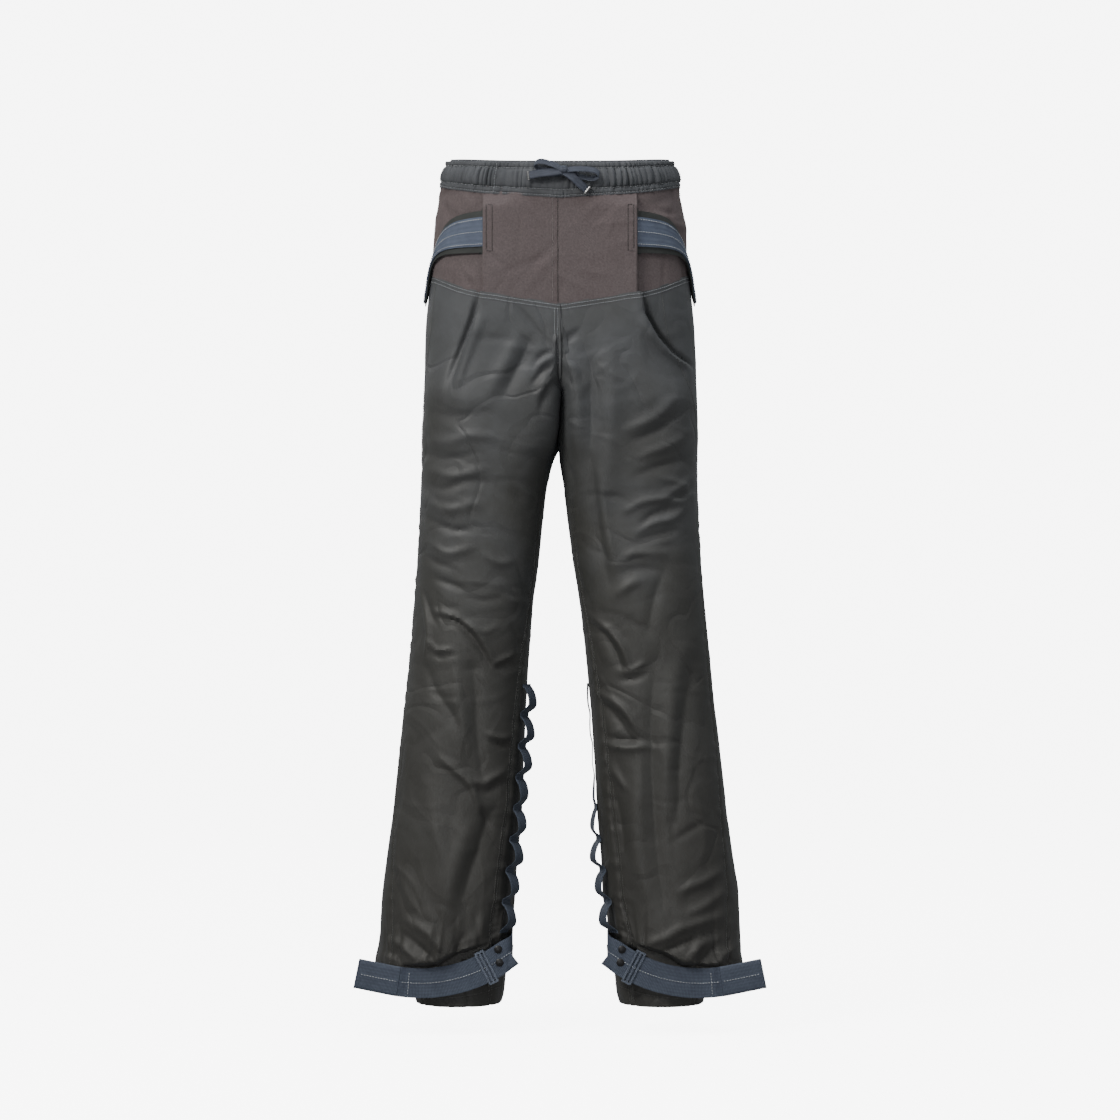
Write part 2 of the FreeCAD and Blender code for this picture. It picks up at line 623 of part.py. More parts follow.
def lead(side):
    """The bunched tape from its eyelet to the knot."""
    eyelet_x = BOW_X + side * EYELET_SPACING / 2
    start = V(eyelet_x, BOW_FACE_Y + 2.0, BOW_Z)
    corner = V(eyelet_x - side * 0.5, BOW_FACE_Y - 4.4, BOW_Z)
    end = V(KNOT_X, BOW_FACE_Y - 3.2, KNOT_Z - 1.0)
    path = rounded_path([start, corner, end])
    circle = Part.Wire(Part.makeCircle(LEAD_RADIUS, start, V(0, -1, 0)))
    return path.makePipeShell([circle], True, True)


def end_clamp(route, side, tilt):
    """A crimped metal tube across the end of a tail."""
    radius = 1.8
    (x0, d0), (x1, d1) = route[-2], route[-1]
    along = V(side * (x1 - x0), -(d1 - d0), 0).normalize()
    middle = V(side * x1, -d1, 0) + along * (radius * 0.9)
    clamp = Part.makeCylinder(radius, CORD_WIDTH, middle - V(0, 0, CORD_WIDTH / 2))
    clamp.rotate(V(0, 0, 0), V(0, 1, 0), -side * tilt)
    clamp.translate(V(KNOT_X, BOW_FACE_Y, KNOT_Z))
    return clamp


def drawstring():
    knot = knot_shape()
    halves = (
        ("right", -1, RIGHT_LOOP, RIGHT_TAIL, RIGHT_TILTS),
        ("left", 1, LEFT_LOOP, LEFT_TAIL, LEFT_TILTS),
    )
    for name, side, loop, tail, (loop_tilt, tail_tilt) in halves:
        clamp = end_clamp(tail, side, tail_tilt)
        runs = [
            lead(side).cut(knot),
            flat_tape(loop, side, loop_tilt).cut(knot),
            flat_tape(tail, side, tail_tilt).cut(knot).cut(clamp),
        ]
        solids = [max(run.Solids, key=lambda s: s.Volume) for run in runs]
        save(f"drawstring_{name}_end", Part.makeCompound(solids))
        save(f"drawstring_{name}_clamp", clamp)
    save("drawstring_knot", knot)


os.makedirs("parts", exist_ok=True)
waistband()
eyelets()
yoke()
leg_panels()
leg_liner()
hem_facing()
loop_tape()
hem_belt()
press_studs()
belt_slider()
hip_loops()
drawstring()
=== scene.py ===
"""The looks of a pair of protective over-trousers: cloth, webbing, cords and small metal parts.

Lengths are in millimetres until a mesh is made, and in metres from there on. The frame is the CAD
model's: +Z up, the wearer faces -Y, so the wearer's right leg is on -X. Each half is worked out
with X measured outwards from the middle, and side (-1 right, +1 left) turns it into x.
"""

import math

import bpy
import numpy as np
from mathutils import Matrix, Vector


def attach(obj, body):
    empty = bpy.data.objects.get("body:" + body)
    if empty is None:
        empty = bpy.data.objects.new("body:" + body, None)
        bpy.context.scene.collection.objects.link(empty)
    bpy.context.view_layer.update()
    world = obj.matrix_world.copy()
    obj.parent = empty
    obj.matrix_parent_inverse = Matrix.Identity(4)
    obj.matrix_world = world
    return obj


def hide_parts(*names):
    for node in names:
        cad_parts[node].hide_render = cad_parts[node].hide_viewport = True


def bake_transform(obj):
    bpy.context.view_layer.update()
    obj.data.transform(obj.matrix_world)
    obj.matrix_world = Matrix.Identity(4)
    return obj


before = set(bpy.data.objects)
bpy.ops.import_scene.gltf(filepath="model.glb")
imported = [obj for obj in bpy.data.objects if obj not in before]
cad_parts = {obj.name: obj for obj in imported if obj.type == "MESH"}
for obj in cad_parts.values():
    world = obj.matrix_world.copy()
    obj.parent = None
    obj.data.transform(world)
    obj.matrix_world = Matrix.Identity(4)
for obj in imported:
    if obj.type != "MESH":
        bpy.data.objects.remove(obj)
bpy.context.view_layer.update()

MM = 0.001
SIDES = (("right", -1), ("left", 1))


# ---- camera, floor and light ---------------------------------------------------------------------
CAMERA_DISTANCE = 6.0
VIEW_WIDTH = 1.4246      # metres of the object's front plane that the frame takes in
FRONT_PLANE = -0.08
EYE_HEIGHT = -0.509


def make_camera():
    data = bpy.data.cameras.new("camera")
    data.sensor_width = 36.0
    data.lens = data.sensor_width * (CAMERA_DISTANCE + FRONT_PLANE) / VIEW_WIDTH
    data.clip_end = 60.0
    camera = bpy.data.objects.new("camera", data)
    camera.location = (0.0, -CAMERA_DISTANCE, EYE_HEIGHT)
    camera.rotation_euler = (math.pi / 2, 0.0, 0.0)
    bpy.context.scene.collection.objects.link(camera)
    bpy.context.scene.camera = camera


FLOOR_Z = -1.115
FLOOR_REACH = 12.0       # metres out to the backdrop, and how high it stands
FLOOR_BEND = 3.0
FLOOR_CAP = 0.02         # radius of the flat middle
FLOOR_TURNS, BEND_STEPS = 64, 12


def make_floor():
    """A pale floor that sweeps up into a round backdrop far away."""
    flat = FLOOR_REACH - FLOOR_BEND
    profile = [(FLOOR_CAP, FLOOR_Z), (flat, FLOOR_Z)]
    for i in range(1, BEND_STEPS + 1):
        a = math.pi / 2 * i / BEND_STEPS
        profile.append((flat + FLOOR_BEND * math.sin(a), FLOOR_Z + FLOOR_BEND * (1 - math.cos(a))))
    profile.append((FLOOR_REACH, FLOOR_REACH))
    points, faces = [], []
    for i in range(FLOOR_TURNS):
        a = 2 * math.pi * i / FLOOR_TURNS
        points += [(r * math.cos(a), r * math.sin(a), z) for r, z in profile]
    count = len(profile)
    for i in range(FLOOR_TURNS):
        here, there = i * count, (i + 1) % FLOOR_TURNS * count
        for k in range(count - 1):
            faces.append((here + k, here + k + 1, there + k + 1, there + k))
    faces.append([i * count for i in range(FLOOR_TURNS)])
    mesh = bpy.data.meshes.new("studio_floor")
    mesh.from_pydata(points, [], faces)
    mesh.polygons.foreach_set("use_smooth", [True] * len(faces))
    paper = Nodes("studio_paper")
    paper.set(Base_Color=(0.93, 0.93, 0.93, 1), Roughness=0.9)
    paper.set(Emission_Color=(1, 1, 1, 1), Emission_Strength=7.0)
    mesh.materials.append(paper.material)
    floor = bpy.data.objects.new("studio_floor", mesh)
    floor.visible_diffuse = False
    floor.visible_glossy = False
    bpy.context.scene.collection.objects.link(floor)


def area_light(name, place, aim, size, power, colour=(1, 1, 1)):
    data = bpy.data.lights.new(name, "AREA")
    data.shape = "RECTANGLE"
    data.size, data.size_y = size
    data.energy = power
    data.color = colour
    lamp = bpy.data.objects.new(name, data)
    lamp.location = place
    towards = Vector(aim) - Vector(place)
    lamp.rotation_euler = towards.to_track_quat("-Z", "Y").to_euler()
    bpy.context.scene.collection.objects.link(lamp)


def make_light():
    world = bpy.data.worlds.new("studio")
    world.use_nodes = True
    sky = world.node_tree.nodes["Background"].inputs
    sky["Color"].default_value = (0.97, 0.985, 1.0, 1)
    sky["Strength"].default_value = 0.26
    bpy.context.scene.world = world
    area_light("key", (-1.9, -2.3, 1.7), (0, 0, -0.5), (1.2, 0.9), 88.0, (1.0, 0.98, 0.95))
    area_light("fill", (2.8, -2.6, 0.4), (0, 0, -0.5), (1.2, 2.2), 7.0, (0.93, 0.96, 1.0))
    area_light("top", (0.3, -0.7, 2.2), (0, 0, -0.2), (1.8, 1.2), 42.0, (0.94, 0.97, 1.0))
    area_light("low", (-0.4, -2.9, -0.75), (0, 0, -0.97), (1.6, 0.4), 12.0, (0.96, 0.98, 1.0))
    area_light("rim", (-1.5, 3.2, 1.2), (0, 0, -0.5), (2.0, 2.0), 20.0)


# ---- small mathematics ---------------------------------------------------------------------------
def smooth_through(knots, values, at):
    """Values at given places on a smooth line through knots, with no overshoot between them."""
    knots, values = np.asarray(knots, float), np.asarray(values, float)
    shape, at = np.shape(at), np.ravel(at)
    column = (-1,) + (1,) * (values.ndim - 1)
    step = np.diff(knots)
    slope = np.diff(values, axis=0) / step.reshape(column)
    before, after = slope[:-1], slope[1:]
    same_way = before * after > 0
    total = np.where(same_way, before + after, 1.0)
    inner = np.where(same_way, 2 * before * after / total, 0.0)
    tangent = np.concatenate([slope[:1], inner, slope[-1:]])
    i = np.clip(np.searchsorted(knots, at, side="right") - 1, 0, len(step) - 1)
    gap = step[i].reshape(column)
    t = np.clip((at - knots[i]) / step[i], 0, 1).reshape(column)
    line = (2 * t**3 - 3 * t**2 + 1) * values[i] + (3 * t**2 - 2 * t**3) * values[i + 1]
    line += gap * ((t**3 - 2 * t**2 + t) * tangent[i] + (t**3 - t**2) * tangent[i + 1])
    return line.reshape(shape + values.shape[1:])


def fade(value, start, end):
    """0 before start and 1 after end, with a smooth step between."""
    t = np.clip((value - start) / (end - start), 0, 1)
    return t * t * (3 - 2 * t)


def bell(distance, width):
    """1 at no distance, falling smoothly to almost 0 by two widths."""
    return np.exp(-((distance / width) ** 2))


def unit(v):
    return v / np.maximum(np.linalg.norm(v, axis=-1, keepdims=True), 1e-9)


def lengths_along(line):
    """Distance of each point of a line from its start."""
    return np.concatenate([[0.0], np.cumsum(np.linalg.norm(np.diff(line, axis=0), axis=1))])


def resample(line, count):
    """Evenly spaced points along a line."""
    along = lengths_along(line)
    at = np.linspace(0, along[-1], count)
    return np.stack([np.interp(at, along, line[:, k]) for k in range(line.shape[1])], axis=1)


def grid_normals(grid, wrap=False):
    """Outward normals of a grid whose rows go down and whose columns go round."""
    down = np.gradient(grid, axis=0)
    if wrap:
        across = (np.roll(grid, -1, axis=1) - np.roll(grid, 1, axis=1)) / 2
    else:
        across = np.gradient(grid, axis=1)
    return unit(np.cross(down, across))


# ---- making pieces -------------------------------------------------------------------------------
def new_piece(name, points, faces, material, side=1, uv=None, smooth=True):
    """A mesh object from millimetre points; side -1 mirrors it to the wearer's right."""
    points = np.array(points, float)
    if side < 0:
        points[:, 0] *= -1
        faces = [tuple(reversed(f)) for f in faces]
    mesh = bpy.data.meshes.new(name)
    mesh.from_pydata((points * MM).tolist(), [], faces)
    mesh.polygons.foreach_set("use_smooth", [smooth] * len(faces))
    mesh.set_sharp_from_angle(angle=math.radians(55))
    if uv is not None:
        corners = np.zeros(len(mesh.loops), int)
        mesh.loops.foreach_get("vertex_index", corners)
        mesh.uv_layers.new(name="Cloth")
        mesh.uv_layers["Cloth"].data.foreach_set("uv", (np.asarray(uv) * MM)[corners].ravel())
    mesh.materials.append(material)
    piece = bpy.data.objects.new(name, mesh)
    bpy.context.scene.collection.objects.link(piece)
    return piece


def wall(grid, thick, mask=None, wrap=False, lift=0.0, normals=None):
    """A closed thin wall from a grid: (points, faces, uv). mask keeps some of its squares."""
    rows, cols = grid.shape[:2]
    if normals is None:
        normals = grid_normals(grid, wrap)
    spans = cols if wrap else cols - 1
    if mask is None:
        mask = np.ones((rows - 1, spans), bool)
    r, c = np.nonzero(mask)
    right = (c + 1) % cols
    here, below = r * cols, (r + 1) * cols
    quads = np.stack([here + c, below + c, below + right, here + right], 1)
    used, packed = np.unique(quads, return_inverse=True)
    quads = packed.reshape(-1, 4)
    outer = (grid + normals * lift).reshape(-1, 3)[used]
    inner = outer - normals.reshape(-1, 3)[used] * thick
    edges = np.concatenate([quads[:, [k, (k + 1) % 4]] for k in range(4)])
    known = set(map(tuple, edges.tolist()))
    rims = [(a, b) for a, b in known if (b, a) not in known]
    n = len(used)
    faces = [tuple(q) for q in quads.tolist()]
    faces += [tuple(n + v for v in reversed(q)) for q in quads.tolist()]
    faces += [(b, a, n + a, n + b) for a, b in sorted(rims)]
    down = np.concatenate([[0], np.cumsum(np.linalg.norm(np.diff(grid, axis=0), axis=2).mean(1))])
    round_step = np.linalg.norm(np.diff(grid, axis=1), axis=2).mean()
    flat = np.stack(np.meshgrid(np.arange(cols) * round_step, -down), 2).reshape(-1, 2)[used]
    return np.concatenate([outer, inner]), faces, np.concatenate([flat, flat])


def joined(parts):
    """Several (points, faces) or (points, faces, uv) as one."""
    points, faces, flats, start = [], [], [], 0
    for part in parts:
        points.append(part[0])
        faces += [tuple(start + v for v in f) for f in part[1]]
        flats.append(part[2] if len(part) > 2 else np.zeros((len(part[0]), 2)))
        start += len(part[0])
    return np.concatenate(points), faces, np.concatenate(flats)


def ribbon(centre, across, width, thick, steps=8, crown=0.0):
    """A flat band: centre line, unit vectors across it, and a rounded oblong section.

    Its uv runs along the band and across it, so that stitches and ribs follow it.
    """
    centre, across = np.asarray(centre, float), unit(np.asarray(across, float))
    along = unit(np.gradient(centre, axis=0))
    out = unit(np.cross(across, along))
    edge = thick / 2
    ring = []
    for i in range(steps + 1):
        w = -1 + 2 * i / steps
        ring.append((w * (width / 2 - edge), edge + crown * (1 - w * w)))
    ring.append((width / 2, 0.0))
    for i in range(steps + 1):
        w = 1 - 2 * i / steps
        ring.append((w * (width / 2 - edge), -edge + crown * (1 - w * w)))
    ring.append((-width / 2, 0.0))
    count, size = len(centre), len(ring)
    w = np.array([p[0] for p in ring])
    h = np.array([p[1] for p in ring])
    points = centre[:, None] + across[:, None] * w[:, None] + out[:, None] * h[:, None]
    distance = np.repeat(lengths_along(centre)[:, None], size, axis=1)
    uv = np.stack([distance, np.repeat(w[None], count, axis=0)], axis=2)
    faces = []
    for i in range(count - 1):
        for j in range(size):
            k = (j + 1) % size
            faces.append((i * size + j, (i + 1) * size + j, (i + 1) * size + k, i * size + k))
    faces.append(tuple(range(size)))
    faces.append(tuple(reversed(range((count - 1) * size, count * size))))
    return points.reshape(-1, 3), faces, uv.reshape(-1, 2)


def stitches(line, normals, pitch=3.3, length=2.3, radius=0.32, lift=0.45):
    """Separate thread stitches laid along a line on cloth."""
    line, normals = np.asarray(line, float), np.asarray(normals, float)
    along = lengths_along(line)
    count = max(int(along[-1] / pitch), 1)
    at = (np.arange(count) + 0.5) * pitch
    place = np.stack([np.interp(at, along, line[:, k]) for k in range(3)], axis=1)
    up = unit(np.stack([np.interp(at, along, normals[:, k]) for k in range(3)], axis=1))
    ahead = np.stack([np.interp(at + 0.5, along, line[:, k]) for k in range(3)], axis=1)
    behind = np.stack([np.interp(at - 0.5, along, line[:, k]) for k in range(3)], axis=1)
    run = unit(ahead - behind)
    beside = unit(np.cross(run, up))
    rings = [(-0.5, 0.25, -0.35), (-0.32, 1.0, 0.0), (0.32, 1.0, 0.0), (0.5, 0.25, -0.35)]
    turns = [(1, 0), (0, 1), (-1, 0), (0, -1)]
    points = []
    for share, size, sink in rings:
        for a, b in turns:
            points.append(
                place
                + run * share * length
                + beside * (a * radius * size)
                + up * (lift + (b * size + sink) * radius)
            )
    points = np.stack(points, axis=1).reshape(-1, 3)
    faces = []
    for i in range(count):
        base = 16 * i
        for ring in range(3):
            for k in range(4):
                a, b = base + 4 * ring + k, base + 4 * ring + (k + 1) % 4
                faces.append((a, a + 4, b + 4, b))
        faces.append((base + 3, base + 2, base + 1, base))
        faces.append((base + 12, base + 13, base + 14, base + 15))
    return points, faces


def soft_piece(name, shape, material, nodes=(), body=None, side=1):
    """Cloth or webbing from (points, faces, uv), standing for CAD nodes and riding a body."""
    points, faces, uv = shape
    piece = new_piece(name, points, faces, material, side, uv=uv)
    if nodes:
        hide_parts(*nodes)
    if body:
        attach(piece, body)
    return piece


def thread_piece(name, rows, material, side=1, body=None, **size):
    """The stitches along several (line, normals) rows, as one piece."""
    shape = joined([stitches(*row, **size) for row in rows])
    piece = new_piece(name, *shape[:2], material, side)
    if body:
        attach(piece, body)
    return piece


# ---- materials -----------------------------------------------------------------------------------
class Nodes:
    """Short calls for building one material's node tree."""

    def __init__(self, name):
        self.material = bpy.data.materials.new(name)
        self.material.use_nodes = True
        self.tree = self.material.node_tree
        self.shader = self.tree.nodes["Principled BSDF"]

    def add(self, kind, inputs=None, **settings):
        node = self.tree.nodes.new(kind)
        for key, value in settings.items():
            setattr(node, key, value)
        for key, value in (inputs or {}).items():
            if isinstance(value, bpy.types.NodeSocket):
                self.tree.links.new(value, node.inputs[key])
            else:
                node.inputs[key].default_value = value
        return node

    def set(self, **values):
        for key, value in values.items():
            socket = self.shader.inputs[key.replace("_", " ")]
            if isinstance(value, bpy.types.NodeSocket):
                self.tree.links.new(value, socket)
            else:
                socket.default_value = value

    def space(self):
        return self.add("ShaderNodeTexCoord").outputs["Object"]

    def cloth(self):
        return self.add("ShaderNodeUVMap", uv_map="Cloth").outputs["UV"]

    def noise(self, vector, scale, detail=3.0, rough=0.55, distortion=0.0):
        inputs = {"Vector": vector, "Scale": scale, "Detail": detail}
        inputs |= {"Roughness": rough, "Distortion": distortion}
        return self.add("ShaderNodeTexNoise", inputs).outputs["Fac"]

    def stretched(self, vector, scale):
        return self.add("ShaderNodeMapping", {"Vector": vector, "Scale": scale}).outputs["Vector"]

    def ramp(self, value, stops):
        node = self.add("ShaderNodeValToRGB", {"Fac": value})
        ramp = node.color_ramp
        while len(ramp.elements) < len(stops):
            ramp.elements.new(0.5)
        for element, (place, colour) in zip(ramp.elements, stops):
            element.position = place
            element.color = (*colour, 1)
        return node.outputs["Color"]

    def maths(self, operation, *values):
        inputs = dict(enumerate(values))
        return self.add("ShaderNodeMath", inputs, operation=operation).outputs["Value"]

    def mix(self, factor, a, b, blend="MIX"):
        node = self.add("ShaderNodeMix", data_type="RGBA", blend_type=blend)
        for index, value in ((0, factor), (6, a), (7, b)):
            if isinstance(value, bpy.types.NodeSocket):
                self.tree.links.new(value, node.inputs[index])
            else:
                node.inputs[index].default_value = value if index == 0 else (*value, 1)
        return node.outputs[2]

    def wave(self, vector, scale, direction, distortion=0.0):
        node = self.add(
            "ShaderNodeTexWave",
            {"Vector": vector, "Scale": scale, "Distortion": distortion, "Detail Scale": 2.0},
            bands_direction=direction,
        )
        return node.outputs["Fac"]

    def bump(self, *layers):
        """Stacked bumps from (height, strength, distance in metres)."""
        normal = None
        for height, strength, distance in layers:
            inputs = {"Height": height, "Strength": strength, "Distance": distance}
            if normal is not None:
                inputs["Normal"] = normal
            normal = self.add("ShaderNodeBump", inputs).outputs["Normal"]
        self.set(Normal=normal)


WAVE_STEP = math.pi / 10     # how far Blender's wave texture goes between bands, at scale 1


def bands(pitch):
    """Scale of a wave texture that repeats every pitch, in metres."""
    return WAVE_STEP / pitch


def shell_taffeta():
    """Dark olive nylon with painted light and shade: painted lighter and cooler above, painted
    darker and warmer below; a soft sheen.
    """
    n = Nodes("shell_taffeta")
    space, cloth = n.space(), n.cloth()
    broad = n.noise(space, 6.0, 3.0, 0.6, 0.6)
    # Painted light and shade: the colour follows height, lighter and cooler at the top as painted
    # light and darker and warmer at the bottom as painted shade, with broad random mottle mixed in.
    high = n.add("ShaderNodeSeparateXYZ", {"Vector": space}).outputs["Z"]
    painted_light_and_mottle = n.maths("ADD", n.maths("MULTIPLY", high, 1.1), n.maths("MULTIPLY", broad, 0.9))
    # low is the painted shade at the bottom of the legs, top the painted light at the top.
    low, middle, top = (0.040, 0.039, 0.035), (0.050, 0.050, 0.046), (0.076, 0.079, 0.082)
    painted_light_tint = n.ramp(n.maths("ADD", painted_light_and_mottle, 0.62), [(0.10, low), (0.45, middle), (0.85, top)])
    cloud = n.noise(n.stretched(space, (0.8, 1.0, 1.2)), 15.0, 4.0, 0.55, 0.5)
    tone = n.ramp(cloud, [(0.3, (0.86, 0.86, 0.85)), (0.7, (1.12, 1.12, 1.13))])
    n.set(Base_Color=n.mix(1.0, painted_light_tint, tone, "MULTIPLY"))
    rough = n.noise(space, 26.0, 3.0, 0.6)
    n.set(Roughness=n.maths("MULTIPLY_ADD", rough, 0.12, 0.50), Specular_IOR_Level=0.42)
    n.set(Sheen_Weight=0.04, Sheen_Roughness=0.45, Sheen_Tint=(0.72, 0.82, 0.90, 1))
    warp = n.wave(cloth, bands(0.0011), "X", 0.4)
    weft = n.wave(cloth, bands(0.0013), "Y", 0.4)
    weave = n.maths("MULTIPLY", warp, weft)
    crumple = n.noise(space, 30.0, 2.0, 0.5, 0.5)
    fine = n.noise(space, 75.0, 3.0, 0.5, 0.3)
    folded = n.maths("SUBTRACT", n.noise(space, 11.0, 1.5, 0.4, 0.8), 0.5)
    crease = n.maths("ABSOLUTE", folded, 0.0)
    crisp = n.maths("MINIMUM", crease, 0.06)
    n.bump((crumple, 0.16, 0.005), (crisp, 0.60, 0.022), (fine, 0.08, 0.001), (weave, 0.1, 0.0004))
    return n.material


def yoke_canvas():
    """Brown brushed canvas, matt and a little fuzzy."""
    n = Nodes("yoke_canvas")
    space, cloth = n.space(), n.cloth()
    mottle = n.noise(space, 9.0, 4.0, 0.6)
    brown = n.ramp(mottle, [(0.3, (0.102, 0.081, 0.081)), (0.7, (0.122, 0.101, 0.101))])
    nap = n.noise(space, 420.0, 3.0, 0.7)
    grain = n.ramp(nap, [(0.3, (0.80, 0.80, 0.80)), (0.7, (1.15, 1.15, 1.15))])
    n.set(Base_Color=n.mix(1.0, brown, grain, "MULTIPLY"))
    n.set(Roughness=0.92, Specular_IOR_Level=0.2)
    n.set(Sheen_Weight=0.08, Sheen_Roughness=0.6, Sheen_Tint=(0.85, 0.72, 0.70, 1))
    twill = n.wave(cloth, bands(0.0016), "DIAGONAL", 0.5)
    soft = n.noise(space, 40.0, 3.0, 0.5)
    n.bump((soft, 0.12, 0.003), (nap, 0.25, 0.0008), (twill, 0.12, 0.0005))
    return n.material


def band_cloth(name, dark, light):
    """Grey-green cloth of the waistband and the hip loops' backing."""
    n = Nodes(name)
    space, cloth = n.space(), n.cloth()
    mottle = n.noise(space, 26.0, 4.0, 0.6)
    n.set(Base_Color=n.ramp(mottle, [(0.3, dark), (0.7, light)]))
    n.set(Roughness=0.72, Specular_IOR_Level=0.3)
    n.set(Sheen_Weight=0.05, Sheen_Tint=(0.75, 0.85, 0.88, 1))
    ribs = n.wave(cloth, bands(0.0014), "X", 0.6)
    fine = n.noise(space, 180.0, 3.0, 0.6)
    n.bump((fine, 0.2, 0.0012), (ribs, 0.15, 0.0005))
    return n.material


def webbing(name, dark, light, rib=0.0017):
    """Woven webbing with close ribs across it, a little worn."""
    n = Nodes(name)
    space, cloth = n.space(), n.cloth()
    ribs = n.wave(cloth, bands(rib), "X", 0.3)
    lengthwise = n.wave(cloth, bands(0.0042), "Y", 0.2)
    wear = n.noise(space, 55.0, 4.0, 0.65)
    weave = n.maths("MULTIPLY", ribs, n.maths("ADD", n.maths("MULTIPLY", lengthwise, 0.5), 0.5))
    tone = n.ramp(weave, [(0.0, dark), (1.0, light)])
    shade = n.ramp(wear, [(0.3, (0.82, 0.82, 0.84)), (0.75, (1.12, 1.12, 1.1))])
    n.set(Base_Color=n.mix(1.0, tone, shade, "MULTIPLY"))
    n.set(Roughness=0.62, Specular_IOR_Level=0.35)
    n.set(Sheen_Weight=0.05, Sheen_Tint=(0.7, 0.8, 0.95, 1))
    fuzz = n.noise(space, 500.0, 2.0, 0.6)
    n.bump((weave, 0.55, 0.0005), (fuzz, 0.15, 0.0004))
    return n.material


def thread(name, dark, light):
    """Sewing thread with a light twist."""
    n = Nodes(name)
    twist = n.noise(n.space(), 900.0, 2.0, 0.5)
    n.set(Base_Color=n.ramp(twist, [(0.3, dark), (0.7, light)]))
    n.set(Roughness=0.6, Sheen_Weight=0.2)
    return n.material


def metal(name, dark, light, rough, metallic, scratch=0.08):
    """Cast or pressed metal with faint handling marks."""
    n = Nodes(name)
    space = n.space()
    marks = n.noise(n.stretched(space, (1.0, 1.0, 6.0)), 160.0, 5.0, 0.7)
    n.set(Base_Color=n.ramp(marks, [(0.3, dark), (0.8, light)]))
    n.set(Metallic=metallic, Roughness=n.maths("MULTIPLY_ADD", marks, 0.25, rough))
    n.bump((marks, scratch, 0.0004))
    return n.material


def quilted_liner():
    """Pale layered fibre with quilting channels."""
    n = Nodes("liner_fibre")
    space, cloth = n.space(), n.cloth()
    mottle = n.noise(space, 70.0, 4.0, 0.65)
    n.set(Base_Color=n.ramp(mottle, [(0.3, (0.44, 0.42, 0.33)), (0.7, (0.60, 0.57, 0.45))]))
    n.set(Roughness=0.95)
    channels = n.wave(cloth, bands(0.030), "X", 0.0)
    knit = n.noise(space, 300.0, 3.0, 0.6)
    n.bump((channels, 0.6, 0.003), (knit, 0.5, 0.001))
    return n.material


def ribbed_elastic():
    """Off-white elastic with close ribs."""
    n = Nodes("elastic")
    cloth = n.cloth()
    ribs = n.wave(cloth, bands(0.0022), "Y", 0.1)
    n.set(Base_Color=n.ramp(ribs, [(0.0, (0.33, 0.33, 0.31)), (1.0, (0.55, 0.55, 0.52))]))
    n.set(Roughness=0.8)
    n.bump((ribs, 0.6, 0.0006), (n.noise(n.space(), 250.0), 0.2, 0.0004))
    return n.material


# ---- the form of the hips and legs ---------------------------------------------------------------
# Half of the hips: height, half width, front, back. Half of its outline runs from the middle of
# the front (share 0) round the side to the middle of the back (share 1).
HIPS = np.array(
    [
        (6.0, 144.0, -97.5, 97.0),
        (0.0, 145.0, -98.0, 98.0),
        (-25.0, 152.5, -102.0, 103.5),
        (-47.0, 156.0, -105.0, 108.0),
        (-80.0, 161.0, -108.0, 115.0),
        (-120.0, 164.0, -110.5, 120.0),
        (-150.0, 167.0, -111.3, 122.3),
        (-178.0, 171.5, -111.2, 123.4),
        (-229.0, 176.0, -108.6, 122.0),
        (-255.0, 176.5, -107.0, 121.0),
        (-320.0, 176.5, -100.0, 112.0),
    ]
)
ROUND = 2.5              # how square the hips' outline is; 2 is an ellipse
FLAT_ROUND = 5.0         # the same for the front middle panels, which stand out flat
BACK_ROUND = 3.2         # and for the back
PLEAT_X = 98.0


def hips(share, z):
    """Outline points (X, y, z) of the hips for arrays of shares and heights."""
    z = np.broadcast_to(np.asarray(z, float), np.shape(share))
    width, front, back = (np.interp(-z, -HIPS[:, 0], HIPS[:, k]) for k in (1, 2, 3))
    angle = np.interp(share, *ANGLE_TABLE)
    s, c = np.abs(np.sin(angle)), np.cos(angle)
    power = np.where(c > 0, 2 / ROUND, 2 / BACK_ROUND)
    x = width * s**power
    y = np.where(c > 0, front, back) * np.abs(c) ** power
    return np.stack([x, y, z], axis=-1)


def angle_table():
    """How the outline's angle grows with the share of its length."""
    angle = np.linspace(0, math.pi, 721)
    _, width, front, back = HIPS[6]
    s, c = np.sin(angle), np.cos(angle)
    power = np.where(c > 0, 2 / ROUND, 2 / BACK_ROUND)
    x = width * np.abs(s) ** power
    y = np.where(c > 0, front, back) * np.abs(c) ** power
    along = lengths_along(np.stack([x, y], axis=1))
    return along / along[-1], angle


ANGLE_TABLE = angle_table()


def stands_out(x, z):
    """How far the flat front middle stands out from the round hips, at X."""
    width = np.interp(-z, -HIPS[:, 0], HIPS[:, 1])
    front = np.interp(-z, -HIPS[:, 0], HIPS[:, 2])
    ratio = np.clip(np.abs(x) / width, 0, 0.97)
    rounded = (1 - ratio**ROUND) ** (1 / ROUND)
    flat = (1 - ratio**FLAT_ROUND) ** (1 / FLAT_ROUND)
    return (1.5 * fade(x, 40, 92) - front * (flat - rounded)) * fade(-z, 41, 62)


def yoke_seam_z(share):
    """Height of the seam between the yoke and the legs."""
    return smooth_through(
        [0.0, 0.23, 0.40, 0.50, 0.62, 1.0], [-184.0, -166.0, -145.5, -142.0, -147.0, -175.0], share
    )


# The belts: an arc seen from the front, then a straight run out to the free end.
BELT_LOW_X = 178.0
BELT_LOW_Z = -1048.0
BELT_RADIUS = 185.6
BELT_STRAIGHT = math.radians(11.5)
BELT_WIDTH = 38.0
BELT_THICK = 1.6
BELT_BACK_Y = -71.5
BELT_INNER_X = 62.1
BELT_TILT = math.tan(math.radians(11.0))


